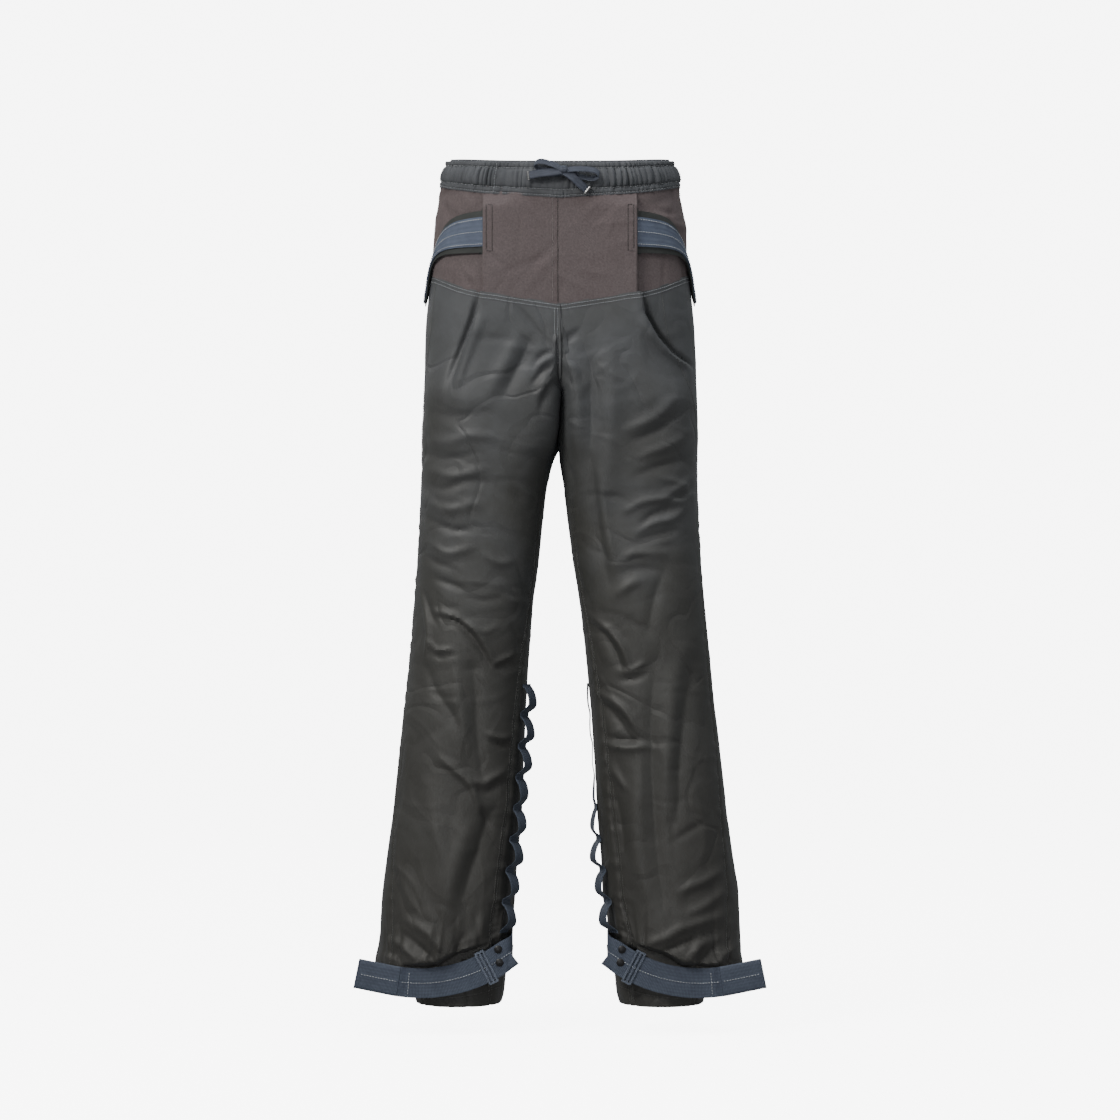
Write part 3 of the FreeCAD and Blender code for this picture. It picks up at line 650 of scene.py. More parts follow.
def belt_line_z(x):
    """Height of the belt's centre line on the front, at X."""
    x = np.asarray(x, float)
    centre = BELT_LOW_Z + BELT_RADIUS
    joint_x = BELT_LOW_X + BELT_RADIUS * math.sin(BELT_STRAIGHT)
    joint_z = centre - BELT_RADIUS * math.cos(BELT_STRAIGHT)
    arc = centre - np.sqrt(np.maximum(BELT_RADIUS**2 - (x - BELT_LOW_X) ** 2, 0))
    return np.where(x < joint_x, arc, joint_z + (x - joint_x) * math.tan(BELT_STRAIGHT))


def cuff_line_z(x, y):
    """Height of the drawn-in line round the leg: the belt in front, a tilted plane behind."""
    plane = -1034.0 + (136.0 - x) * BELT_TILT
    return plane + (belt_line_z(x) - plane) * fade(-y, -10.0, 45.0)


# Each leg ring: height, outer X and inner X of the right leg, the same of the left leg, front y,
# back y, squareness of the inner and of the outer half, tilt, then where the inner front seam,
# the side seams of the right and left leg, and the inner back seam lie, as shares of the ring.
LEG_RINGS = [
    (-304, 175.5, 0.4, 176.5, 0.4, -103, 115, 6.0, 2.6, -5, 0.155, 0.47, 0.40, 0.82),
    (-332, 176.5, 0.5, 177.5, 0.4, -99, 109, 5.0, 2.5, -4, 0.145, 0.48, 0.43, 0.835),
    (-358, 178, 2.6, 178, 0.6, -96.5, 105, 4.0, 2.45, -2, 0.132, 0.485, 0.455, 0.855),
    (-382, 178, 10.5, 177, 1.6, -94, 101, 3.2, 2.4, 0, 0.12, 0.49, 0.47, 0.87),
    (-432, 180, 19, 178, 6.5, -89, 95, 2.7, 2.35, 0, 0.09, 0.50, 0.49, 0.90),
    (-509, 184, 27, 182, 16.5, -84, 89, 2.4, 2.3, 0, 0.065, 0.50, 0.47, 0.925),
    (-560, 188, 34, 186, 24.5, -82, 86, 2.3, 2.25, 0, 0.062, 0.49, 0.445, 0.935),
    (-611, 192, 38, 191, 31, -80, 84, 2.25, 2.2, 0, 0.073, 0.485, 0.44, 0.93),
    (-661, 197, 41.5, 196, 36, -79, 82, 2.2, 2.2, 0, 0.085, 0.48, 0.435, 0.92),
    (-763, 208, 46.5, 207.5, 44.5, -79, 81, 2.2, 2.2, 0, 0.10, 0.465, 0.43, 0.90),
    (-830, 215, 49, 214.5, 47.5, -80, 82, 2.2, 2.2, 0, 0.108, 0.445, 0.42, 0.893),
    (-890, 223, 54, 223, 52.5, -82, 83, 2.15, 2.15, 0, 0.115, 0.42, 0.41, 0.885),
    (-941, 229.5, 57.5, 230.5, 54.5, -84, 84, 2.15, 2.15, 1, 0.12, 0.405, 0.40, 0.88),
]
# Rings near the belt: distance above its centre line, outer X, inner X, front, back, and how far
# the outer side sags below that.
CUFF_RINGS = [
    (46, 234, 60, -85, 85, 8.0),
    (32, 237, 60.5, -85, 85, 11.5),
    (25.5, 233, 61, -83, 83, 11.5),
    (21.5, 222, 63.5, -76, 77, 9.0),
    (18.5, 208, 66, -69, 70, 6.0),
    (12, 203.5, 66.5, -66, 67, 2.0),
    (0, 202, 67, -65.5, 66, 0),
    (-12, 198, 68.5, -65, 65, 0),
    (-20, 193, 70, -64.5, 64, 0),
]
HEM_RINGS = [(-1067, 188, 73, -64.0, 62.5), (-1077.3, 185, 76, -62.5, 60.5)]
HEM_TIP = 0.04           # the hem hangs lower in front
LOW_ROUND = 2.2          # squareness of the cuff and hem rings
LOW_SEAMS = (0.125, 0.39, 0.385, 0.875)      # the four seams' shares on those rings
INNER_COLS, SIDE_COLS, BACK_COLS, COLS = 35, 128, 253, 288
CENTRE_SHARE_FRONT, CENTRE_SHARE_BACK = 0.17, 0.80
SIDE_SHARE = {-1: 0.41, 1: 0.345}            # where the side seam meets the top edge
GUSSET_TOP = -332.0
INNER_STITCH_TOP = -500.0
LINER_START, LINER_END = -335.0, -975.0


def closed_ring(outer, inner, front, back, n_in, n_out, shares):
    """Points of a leg's outline at shares of its length, from the inner side to the front."""
    t = np.linspace(0, 2 * math.pi, 1441)
    c, s = np.cos(t), np.sin(t)
    power = np.where(c > 0, 2 / n_in, 2 / n_out)
    middle, half = (outer + inner) / 2, (outer - inner) / 2
    x = middle - half * np.sign(c) * np.abs(c) ** power
    y = np.where(s > 0, front, back) * np.abs(s) ** power
    along = lengths_along(np.stack([x, y], axis=1))
    along /= along[-1]
    return np.stack([np.interp(shares, along, x), np.interp(shares, along, y)], axis=1)


def column_shares(inner, side, back):
    """Where each grid column lies on a ring, so that the seams run along columns."""
    return np.interp(
        np.arange(COLS), [0, INNER_COLS, SIDE_COLS, BACK_COLS, COLS], [0, inner, side, back, 1]
    )


# The middle seam from the lowest point of the crotch up to the yoke: (y, z).
FRONT_MIDDLE_SEAM = [(8, -292), (-48, -293), (-86, -284)]
FRONT_MIDDLE_SEAM += [(-103, -258), (-109, -225), (-112.9, -184)]
BACK_MIDDLE_SEAM = [(8, -292), (60, -290), (100, -268), (117, -232), (123.5, -175)]


def middle_seam(points):
    """A smooth line through the points of a middle seam, at X 0."""
    points = np.array([(0.0, y, z) for y, z in points])
    knots = lengths_along(points)
    return smooth_through(knots, points, np.linspace(0, knots[-1], 300))


def top_ring(side):
    """The leg's upper edge: up the centre seam, round the yoke seam and down the centre seam."""
    u = column_shares(CENTRE_SHARE_FRONT, SIDE_SHARE[side], CENTRE_SHARE_BACK)
    share = np.clip((u - CENTRE_SHARE_FRONT) / (CENTRE_SHARE_BACK - CENTRE_SHARE_FRONT), 0, 1)
    ring = hips(share, yoke_seam_z(share))
    front, back = (middle_seam(points) for points in (FRONT_MIDDLE_SEAM, BACK_MIDDLE_SEAM))
    for curve, inside, reach in (
        (front, u < CENTRE_SHARE_FRONT, u / CENTRE_SHARE_FRONT),
        (back, u > CENTRE_SHARE_BACK, (1 - u) / (1 - CENTRE_SHARE_BACK)),
    ):
        along = lengths_along(curve)
        for k in range(3):
            ring[inside, k] = np.interp(reach[inside] * along[-1], along, curve[:, k])
    return ring, share, u


def leg_rings(side):
    """All rings of one leg, from the top edge to the hem."""
    top, share, u = top_ring(side)
    rings = [top]
    leg = 0 if side < 0 else 1
    for z, *edges, front, back, n_in, n_out, tilt, inner, side_r, side_l, inner_back in LEG_RINGS:
        outer, inside = edges[2 * leg], edges[2 * leg + 1]
        shares = column_shares(inner, (side_r, side_l)[leg], inner_back)
        flat = closed_ring(outer, inside, front, back, n_in, n_out, shares)
        lean = (np.mean([outer, inside]) - flat[:, 0]) * math.tan(math.radians(tilt))
        rings.append(np.column_stack([flat, z + lean]))
    low_shares = column_shares(LOW_SEAMS[0], LOW_SEAMS[1 + leg], LOW_SEAMS[3])
    for above, outer, inside, front, back, sag in CUFF_RINGS:
        flat = closed_ring(outer, inside, front, back, LOW_ROUND, LOW_ROUND, low_shares)
        height = cuff_line_z(flat[:, 0], flat[:, 1]) + above
        rings.append(np.column_stack([flat, height - sag * fade(flat[:, 0], 150, 215)]))
    for z, outer, inside, front, back in HEM_RINGS:
        flat = closed_ring(outer, inside, front, back, LOW_ROUND, LOW_ROUND, low_shares)
        rings.append(np.column_stack([flat, z + flat[:, 1] * HEM_TIP]))
    middle = (top + rings[1]) / 2
    round_hip = hips(share, middle[:, 2])
    on_hip = ((u > CENTRE_SHARE_FRONT) & (u < CENTRE_SHARE_BACK))[:, None]
    rings.insert(1, np.where(on_hip, middle * 0.35 + round_hip * 0.65, middle))
    return np.array(rings)


ROW_STEP = 3.2
CUFF_ROW_STEP = 2.0


def leg_base(side):
    """The smooth leg as a grid of points: rows go down, columns go round."""
    rings = leg_rings(side)
    gaps = np.linalg.norm(np.diff(rings, axis=0), axis=2).mean(axis=1)
    knots = np.concatenate([[0], np.cumsum(gaps)])
    places = [0.0]
    for i, gap in enumerate(gaps):
        step = ROW_STEP if i < len(LEG_RINGS) + 2 else CUFF_ROW_STEP
        count = max(int(round(gap / step)), 2)
        places += list(knots[i] + gap * (np.arange(count) + 1) / count)
    return smooth_through(knots, rings, np.array(places))


# ---- folds ---------------------------------------------------------------------------------------
# Folds on the front: (x, z) points, height (valleys are negative), and how wide each is on
# its upper and on its lower side.
FRONT_FOLDS = {
    "right": [
        ([(-58, -184), (-34, -212), (-12, -237)], -1.8, 3.0, 3.5),
        ([(-38, -232), (-52, -262), (-72, -302)], -5.5, 9, 10),
        ([(-52, -226), (-68, -258), (-92, -300)], 2.5, 10, 10),
        ([(-9, -243), (-20, -248), (-31, -257)], -3.0, 3.0, 3.5),
        ([(-9, -252), (-20, -257), (-30, -266)], 2.2, 3.0, 3.5),
        ([(-9, -262), (-22, -270), (-36, -286)], -3.6, 3.5, 4.0),
        ([(-8, -274), (-20, -286), (-30, -303)], 2.5, 4.0, 4.5),
        ([(-8, -284), (-18, -300), (-26, -322)], -3.0, 4.0, 4.5),
        ([(-170, -318), (-128, -326), (-90, -320)], -1.6, 6, 9),
        ([(-172, -352), (-140, -358), (-112, -350), (-88, -352)], 1.8, 6, 8),
        ([(-176, -372), (-146, -380), (-104, -372)], -2.0, 5, 8),
        ([(-170, -392), (-134, -402), (-96, -392)], 1.8, 5, 7),
        ([(-176, -412), (-150, -418), (-118, -408), (-92, -410)], -2.0, 5, 7),
        ([(-172, -432), (-140, -444), (-106, -436)], 2.2, 5, 7),
        ([(-176, -452), (-156, -462), (-130, -470), (-104, -466)], -2.4, 4, 6),
        ([(-168, -486), (-142, -500), (-112, -492)], 2.4, 4, 6),
        ([(-178, -498), (-158, -512), (-134, -520)], -2.6, 4, 6),
        ([(-96, -500), (-76, -512), (-60, -510)], 1.8, 4, 6),
        ([(-160, -532), (-138, -540), (-122, -546)], -2.8, 4, 5),
        ([(-122, -556), (-96, -560), (-74, -556)], -1.6, 4, 6),
        ([(-180, -545), (-171, -575), (-168, -600), (-172, -640)], 2.6, 3.0, 4.0),
        ([(-174, -548), (-164, -580), (-156, -592)], -2.4, 3.0, 4.0),
        ([(-158, -575), (-131, -582), (-112, -596), (-97, -616), (-84, -640)], 3.4, 5.0, 2.8),
        ([(-156, -581), (-130, -588), (-114, -602), (-100, -622), (-88, -644)], -4.4, 2.8, 5.5),
        ([(-168, -612), (-156, -624), (-138, -622)], 2.4, 3.0, 4.0),
        ([(-166, -620), (-152, -632), (-136, -630)], -2.2, 3.0, 4.5),
        ([(-118, -590), (-96, -600), (-78, -592)], 1.6, 4.0, 4.0),
        ([(-84, -640), (-70, -634), (-56, -628)], 2.8, 3.0, 3.0),
        ([(-82, -648), (-68, -642), (-54, -638)], -2.8, 3.0, 4.5),
        ([(-62, -590), (-54, -606), (-48, -630)], -1.8, 4.0, 5.0),
        ([(-172, -640), (-158, -676), (-136, -706), (-122, -742)], -2.6, 6, 8),
        ([(-112, -640), (-106, -690), (-104, -740), (-98, -790)], -5.5, 10, 12),
        ([(-134, -640), (-128, -700), (-126, -760)], 3.0, 12, 12),
        ([(-92, -730), (-74, -736), (-60, -733)], 2.6, 3.5, 4.0),
        ([(-90, -738), (-72, -745), (-58, -742)], -2.6, 3.5, 5.0),
        ([(-152, -762), (-132, -778), (-114, -796), (-102, -828)], 4.0, 6.0, 4.0),
        ([(-112, -790), (-98, -793), (-84, -786), (-70, -778)], 3.2, 5.0, 3.5),
        ([(-108, -800), (-94, -804), (-80, -796), (-66, -790)], -3.4, 3.5, 6.0),
        ([(-101, -826), (-92, -838), (-86, -850)], -4.6, 5.0, 7.0),
        ([(-90, -840), (-104, -880), (-124, -942)], -6.5, 13, 15),
        ([(-170, -800), (-158, -850), (-150, -900), (-148, -960)], 2.8, 14, 14),
        ([(-120, -850), (-132, -900), (-142, -950)], 3.4, 12, 12),
        ([(-200, -985), (-180, -1000), (-160, -1018)], -4.2, 5.0, 6.0),
        ([(-214, -992), (-196, -1006), (-182, -1018)], 3.2, 4.5, 5.0),
        ([(-192, -970), (-168, -984), (-148, -1008)], 2.8, 6.0, 6.0),
        ([(-120, -985), (-128, -1000), (-132, -1018)], -3.8, 5.0, 5.0),
        ([(-98, -960), (-104, -985), (-108, -1004)], 3.2, 6.0, 6.0),
        ([(-84, -950), (-86, -975), (-88, -994)], -3.0, 5.0, 5.0),
    ],
    "left": [
        ([(2, -232), (14, -226), (24, -218)], -2.6, 5.0, 6.0),
        ([(4, -252), (12, -262), (22, -268)], 2.0, 5.0, 5.0),
        ([(30, -236), (40, -270), (40, -330), (38, -380)], -4.8, 9, 12),
        ([(16, -262), (22, -310), (20, -370)], 3.0, 10, 10),
        ([(60, -232), (66, -300), (62, -370), (58, -430)], 3.0, 14, 14),
        ([(38, -380), (44, -420), (50, -478), (62, -540)], -4.4, 7, 9),
        ([(50, -400), (58, -460), (70, -520)], 3.0, 8, 8),
        ([(92, -358), (124, -344), (156, -318)], -4.2, 6, 8),
        ([(86, -344), (122, -326), (150, -300)], 3.0, 7, 7),
        ([(104, -376), (140, -362), (166, -346)], 2.6, 6, 6),
        ([(98, -400), (132, -388), (168, -378)], -2.6, 5, 7),
        ([(134, -425), (150, -418), (170, -402)], 2.8, 4.5, 4.5),
        ([(138, -433), (154, -426), (172, -412)], -3.0, 4.0, 5.0),
        ([(128, -404), (150, -410), (172, -428)], 2.0, 4.0, 5.0),
        ([(84, -446), (110, -434), (134, -431), (154, -434), (170, -424)], 3.6, 5.0, 4.5),
        ([(104, -463), (120, -450), (146, -442)], -4.0, 4.0, 5.0),
        ([(98, -474), (118, -462), (142, -456), (162, -440)], 3.0, 4.5, 4.5),
        ([(100, -484), (126, -476), (150, -470)], -2.8, 4.0, 6.0),
        ([(76, -512), (96, -500), (132, -500)], 2.4, 6.0, 6.0),
        ([(78, -526), (100, -520), (128, -522)], -2.0, 6.0, 7.0),
        ([(70, -556), (90, -540), (104, -534)], 2.4, 6.0, 6.0),
        ([(134, -520), (122, -552), (112, -600)], -2.6, 9, 9),
        ([(38, -590), (57, -606), (70, -626), (79, -648)], -4.6, 4.0, 6.0),
        ([(48, -586), (66, -602), (80, -622), (88, -644)], 3.4, 5.0, 4.5),
        ([(78, -652), (94, -648), (108, -640)], 2.8, 4.0, 3.5),
        ([(76, -662), (94, -660), (112, -652)], -2.6, 3.5, 5.0),
        ([(42, -676), (64, -686), (84, -702), (98, -726)], 3.0, 4.5, 4.5),
        ([(44, -688), (62, -700), (80, -722), (94, -742)], -5.2, 6.0, 8.0),
        ([(56, -744), (84, -748), (112, -746)], 3.6, 3.5, 5.0),
        ([(58, -736), (82, -738), (106, -738)], -3.6, 5.0, 3.5),
        ([(156, -621), (144, -668), (138, -760), (134, -830)], 3.6, 12, 12),
        ([(172, -640), (160, -700), (152, -780), (150, -840)], -4.2, 11, 11),
        ([(120, -640), (116, -720), (118, -800), (124, -890), (132, -950)], -5.0, 13, 13),
        ([(98, -780), (98, -860), (106, -930)], 3.4, 13, 13),
        ([(64, -790), (74, -830), (82, -880)], -3.0, 8, 8),
        ([(60, -764), (76, -790), (84, -800)], 2.0, 5, 5),
        ([(146, -865), (168, -852), (186, -842)], -2.2, 5, 6),
        ([(152, -930), (182, -918), (208, -905)], 3.0, 6, 6),
        ([(156, -962), (186, -948), (212, -930)], 3.2, 6, 6),
        ([(108, -1000), (134, -990), (160, -976), (212, -962)], 4.6, 7, 5.0),
        ([(118, -1010), (144, -1002), (172, -990), (206, -980)], -4.4, 4.0, 6.0),
        ([(168, -1034), (186, -1014), (204, -998)], -5.2, 6.0, 6.0),
        ([(158, -1022), (172, -1006), (186, -994)], 3.4, 4.5, 4.5),
        ([(196, -1030), (210, -1012), (226, -1002)], 3.2, 5.0, 5.0),
        ([(86, -985), (92, -1000), (100, -1014)], -3.4, 5.0, 5.0),
        ([(74, -960), (78, -985), (84, -1002)], 2.8, 5.0, 5.0),
    ],
}
# The pleat that runs down from the outer corner of each middle yoke panel: (X, z).
PLEATS = {
    "right": [(98, -150), (103, -172), (108, -197), (121, -236), (134, -280), (142, -310)],
    "left": [(98, -150), (103, -160), (108, -196), (124, -224), (142, -245), (171, -264)],
}


LINE_STEP, LINE_SAMPLES = 1.6, 26    # spacing of a fold's samples, and the fewest it has


def near_line(x, z, points):
    """Distance of each (x, z) from a smooth line, whether it is above it, and how far along."""
    points = np.array(points, float)
    knots = lengths_along(points)
    samples = int(max(LINE_SAMPLES, knots[-1] / LINE_STEP))
    line = smooth_through(knots, points, np.linspace(0, knots[-1], samples))
    gap_x, gap_z = x[..., None] - line[:, 0], z[..., None] - line[:, 1]
    squared = gap_x**2 + gap_z**2
    closest = squared.argmin(axis=-1)
    run = np.gradient(line, axis=0)
    run = np.where(run[:, :1] < 0, -run, run)
    dx = np.take_along_axis(gap_x, closest[..., None], -1)[..., 0]
    dz = np.take_along_axis(gap_z, closest[..., None], -1)[..., 0]
    above = run[closest, 0] * dz - run[closest, 1] * dx > 0
    return np.sqrt(squared.min(axis=-1)), above, closest / (samples - 1)


FOLD_REACH = 3.2         # widths out to which a fold is worked out
FOLD_MOST, FOLD_MOST_BY_WIDTH = 4.3, 0.19    # the height that folds level off at
FOLD_LEVELLING = 1.9
VALLEY_CUSP = 0.55       # how much of a valley's section is a sharp crease


def front_folds(name, side, base, facing):
    """Heights of the listed folds over the leg's grid."""
    x, z = base[..., 0] * side, base[..., 2]
    height = np.zeros_like(x)
    for points, rise, above_width, below_width in FRONT_FOLDS[name]:
        reach = FOLD_REACH * max(above_width, below_width)
        xs, zs = [p[0] for p in points], [p[1] for p in points]
        near = (x > min(xs) - reach) & (x < max(xs) + reach)
        near &= (z > min(zs) - reach) & (z < max(zs) + reach) & (facing > 0.02)
        distance, above, along = near_line(x[near], z[near], points)
        width = np.where(above, above_width, below_width)
        ends = np.sin(math.pi * np.clip(along * 0.9 + 0.05, 0, 1)) ** 0.6
        most = FOLD_MOST + FOLD_MOST_BY_WIDTH * max(above_width, below_width)
        strength = most * math.tanh(FOLD_LEVELLING * rise / most)
        crest = bell(distance, width)
        if rise < 0:
            sharp = np.exp(-1.5 * distance / width)
            crest = (1 - VALLEY_CUSP) * crest + VALLEY_CUSP * sharp
        height[near] += strength * ends * crest * np.sqrt(facing[near])
    return height


LOOSE_WRINKLES = 330
WRINKLE_ROWS = 30        # how far up and down the grid a wrinkle reaches


def loose_wrinkles(base, seed, facing):
    """Seeded small wrinkles: level ones on thigh and knee, upright ones lower down."""
    rng = np.random.default_rng(seed)
    rows, cols = base.shape[:2]
    height = np.zeros((rows, cols))
    z = base[..., 2]
    step = np.linalg.norm(np.diff(base, axis=1), axis=2).mean()
    for _ in range(LOOSE_WRINKLES):
        row, col = rng.uniform(6, rows - 40), rng.uniform(0, cols)
        here = z[int(row), int(col) % cols]
        upright = rng.random() < fade(-here, 640, 860) * 0.75
        slope = rng.normal(1.35 if upright else 0.0, 0.30) * rng.choice([-1, 1])
        length = rng.uniform(14, 46) if not upright else rng.uniform(30, 90)
        width = rng.uniform(2.0, 4.5) if not upright else rng.uniform(5, 10)
        rise = rng.choice([-1, 1]) * rng.uniform(0.4, 1.5)
        first, last = int(max(row - WRINKLE_ROWS, 0)), int(min(row + WRINKLE_ROWS + 1, rows))
        span = int(60 / step) + 4
        near = np.arange(int(col) - span, int(col) + span + 1)
        du, dv = np.meshgrid((near - col) * step, (np.arange(first, last) - row) * ROW_STEP)
        a = du * math.cos(slope) + dv * math.sin(slope)
        b = -du * math.sin(slope) + dv * math.cos(slope) + 0.006 * a * a * rng.choice([-1, 1])
        bump = rise * np.exp(-((a / length) ** 2) - np.abs(b / width) ** 1.3)
        height[first:last, near % cols] += bump
    calm = 0.75 - 0.30 * fade(1 - facing, 0.5, 0.95)
    return height * calm * fade(-z, 190, 240)


CUFF_GATHERS = 30


def cuff_gathers(base, seed):
    """The folds that form where the belt draws the leg in."""
    rng = np.random.default_rng(seed)
    rows, cols = base.shape[:2]
    height = np.zeros((rows, cols))
    above = base[..., 2] - cuff_line_z(base[..., 0], base[..., 1])
    swell = fade(above, 8, 22) * (1 - fade(above, 30, 95)) + 0.35 * (1 - fade(above, -4, 12))
    for _ in range(CUFF_GATHERS):
        centre, width = rng.uniform(0, cols), rng.uniform(1.3, 3.4)
        rise, drift = rng.uniform(-3.4, 3.0), rng.uniform(-0.14, 0.14)
        offset = (np.arange(cols)[None] - centre - drift * above + cols / 2) % cols - cols / 2
        height += rise * bell(offset, width)
    return height * swell


SEAM_DIP, SEAM_PUCKER = 1.3, 0.28


def seam_grooves(base):
    """The dip along each seam down the leg, with small puckers beside it."""
    rng = np.random.default_rng(5)
    rows, cols = base.shape[:2]
    row = np.arange(rows)[:, None]
    height = np.zeros((rows, cols))
    step = np.linalg.norm(np.diff(base, axis=1), axis=2).mean()
    for col in (INNER_COLS, SIDE_COLS, BACK_COLS):
        away = np.abs(np.arange(cols)[None] - col) * step
        waver = sum(np.sin(row * rng.uniform(0.4, 1.6) + rng.uniform(0, 6)) for _ in range(4))
        height -= SEAM_DIP * bell(away, 2.6)
        height += SEAM_PUCKER * waver * bell(away, 11.0)
    return height * fade(-base[..., 2], 330, 520)


PLEAT_LAP, PLEAT_HOLLOW, PLEAT_RIDGE = 6.0, 8.5, 4.0
OTHER_SIDE_FOLDS = 0.8   # the back borrows the other leg's front folds, this much as high
CROTCH_CALM = 24.0       # folds this near the middle are held down, so that the legs stay apart
BELT_HOLD_Y = -66.8      # under the belt no fold comes further forward than this
BELT_HOLD_UP = 29.0      # how far above the belt's middle that holds
CROTCH_WAVE = 3.2


def shape_pleat(grid, base, name):
    """Move the grid to the flat front middle and the pleat at its outer edge."""
    x, z = base[..., 0], base[..., 2]
    pleat = np.array(PLEATS[name], float)
    pleat_x = np.interp(-z, -pleat[:, 1], pleat[:, 0]) - 6.5 * (1 - fade(-z, 200, 300))
    proud = stands_out(np.minimum(x, PLEAT_X + 4), z) * (1 - fade(-z, 185, 300))
    inside = 1 - fade(x, pleat_x - 0.5, pleat_x + 3.0)
    front = fade(-base[..., 1], 20, 60)
    grid[..., 1] -= proud * inside * front
    lap = PLEAT_LAP * bell(x - pleat_x + 1.5, 6.0) * (1 - fade(-z, 200, 300))
    grid[..., 0] += lap * front * (x < pleat_x + 1.0)
    beyond = bell(x - pleat_x - 6.0, 6.0) * fade(-z, 162, 198) * (1 - fade(-z, 235, 322))
    grid[..., 1] += PLEAT_HOLLOW * beyond * front
    ridge = bell(x - pleat_x + 5.0, 5.0) * fade(-z, 190, 225)
    grid[..., 1] -= PLEAT_RIDGE * ridge * (1 - fade(-z, 255, 320)) * front


def fold_heights(name, side, base, normals):
    """How far every fold and wrinkle lifts the leg's grid."""
    facing = np.clip(-normals[..., 1], 0, 1)
    height = front_folds(name, side, base, facing)
    other = "left" if side < 0 else "right"
    behind = np.clip(normals[..., 1], 0, 1)
    height += OTHER_SIDE_FOLDS * front_folds(other, -side, base, behind)
    height += loose_wrinkles(base, 11 + side, facing)
    height += cuff_gathers(base, 31 + side)
    height += seam_grooves(base)
    height *= fade(np.arange(len(base)), 0, 4)[:, None]
    room = np.abs(base[..., 0])
    most = 0.3 + room * 0.30
    return np.where(room < CROTCH_CALM, np.clip(height, -most, most), height)


def hold_under_belt(grid, base):
    """Keep the cloth behind the belt and its slider."""
    x, y = base[..., 0], base[..., 1]
    above = base[..., 2] - cuff_line_z(x, y)
    start = BELT_HOLD_UP - 9.0 * fade(x, 130, 160)
    limit = BELT_HOLD_Y - 20.0 * fade((above - start) / 9.0, 0, 1)
    held = (above < 40) & (y < -30) & (x < 212)
    grid[..., 1] = np.where(held, np.maximum(grid[..., 1], limit), grid[..., 1])


def leg_grid(name, side):
    """The draped leg: (points, normals) of its outside."""
    base = leg_base(side)
    normals = grid_normals(base, wrap=True)
    grid = base.copy()
    shape_pleat(grid, base, name)
    grid += normals * fold_heights(name, side, base, normals)[..., None]
    hold_under_belt(grid, base)
    x, y, z = base[..., 0], base[..., 1], base[..., 2]
    between = (1 - fade(x, 4, 22)) * fade(-z, 284, 294) * (1 - fade(-z, 380, 430))
    grid[..., 0] += side * CROTCH_WAVE * np.sin((y + 12) / 15.0) * between
    return grid, grid_normals(grid, wrap=True)


def on_front(grid, normals, x, z):
    """Points of the leg's front at the given X and z."""
    seen = (grid[..., 1] < -40) & (normals[..., 1] < -0.15) & (grid[..., 0] < 30)
    points, ups = grid[seen], normals[seen]
    apart = (x[:, None] - points[:, 0]) ** 2 + (z[:, None] - points[:, 2]) ** 2
    weight = np.exp(-apart / 5.0)
    weight /= weight.sum(axis=1, keepdims=True)
    return np.stack([x, weight @ points[:, 1], z], axis=1), unit(weight @ ups)


def on_grid(grid, rows, cols):
    """Points between a grid's points, at fractional rows and columns; columns wrap."""
    rows, cols = np.broadcast_arrays(np.asarray(rows, float), np.asarray(cols, float))
    r = np.clip(rows.astype(int), 0, grid.shape[0] - 2)
    fr = (rows - r)[..., None]
    c = np.floor(cols).astype(int)
    fc = (cols - c)[..., None]
    a, b = c % grid.shape[1], (c + 1) % grid.shape[1]
    upper = grid[r, a] * (1 - fc) + grid[r, b] * fc
    lower = grid[r + 1, a] * (1 - fc) + grid[r + 1, b] * fc
    return upper * (1 - fr) + lower * fr


def column_line(grid, normals, col, offset, first, last):
    """A line down the leg that stays a set distance beside a seam's column."""
    rows = np.arange(first, last + 1)
    beside = np.linalg.norm(grid[rows, (col + 1) % COLS] - grid[rows, col % COLS], axis=1)
    cols = col + offset / beside
    return on_grid(grid, rows, cols), unit(on_grid(normals, rows, cols))


def row_line(grid, normals, drop, first, last):
    """A line round the leg a set distance below its upper edge."""
    cols = np.arange(first, last + 0.01, 0.5)
    gap = np.linalg.norm(on_grid(grid, 1.0, cols) - on_grid(grid, 0.0, cols), axis=1)
    rows = drop / gap
    return on_grid(grid, rows, cols), unit(on_grid(normals, rows, cols))


# ---- legs ----------------------------------------------------------------------------------------
CLOTH = 1.6


def hang_from_hips(piece):
    """Cloth of a leg: its placement is baked into its mesh."""
    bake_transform(piece)


def leg_masks(grid):
    """Which squares of the leg's grid belong to the front, the back and the gusset."""
    col = np.arange(COLS)[None]
    low = (grid[:-1, 0, 2] < GUSSET_TOP)[:, None]
    gusset = low & ((col < INNER_COLS) | (col >= BACK_COLS))
    front = (col < SIDE_COLS) & ~gusset
    back = (col >= SIDE_COLS) & ~gusset
    return {"leg_front_panel": front, "leg_back_panel": back, "leg_inner_gusset": gusset}


def make_leg(name, side, looks):
    """One leg: its three shell pieces, their stitches, the liner and the turned hem."""
    grid, normals = leg_grid(name, side)
    for part, mask in leg_masks(grid).items():
        node = f"{name}_{part}"
        shape = wall(grid, CLOTH, mask, wrap=True, normals=normals)
        piece = soft_piece(
            f"{node}_cloth", shape, looks["shell"], (node,), side=side
        )
        hang_from_hips(piece)
    topstitch_leg(name, side, grid, normals, looks)
    line_leg(name, side, grid, normals, looks)


NEAR_ROW, FAR_ROW = 2.6, 7.0     # distances of the two stitch rows from a seam
YOKE_ROWS = (3.0, 7.5)           # the same below the yoke seam
HEM_ROWS_UP = 8.0                # grid rows from the hem's edge up to its stitching


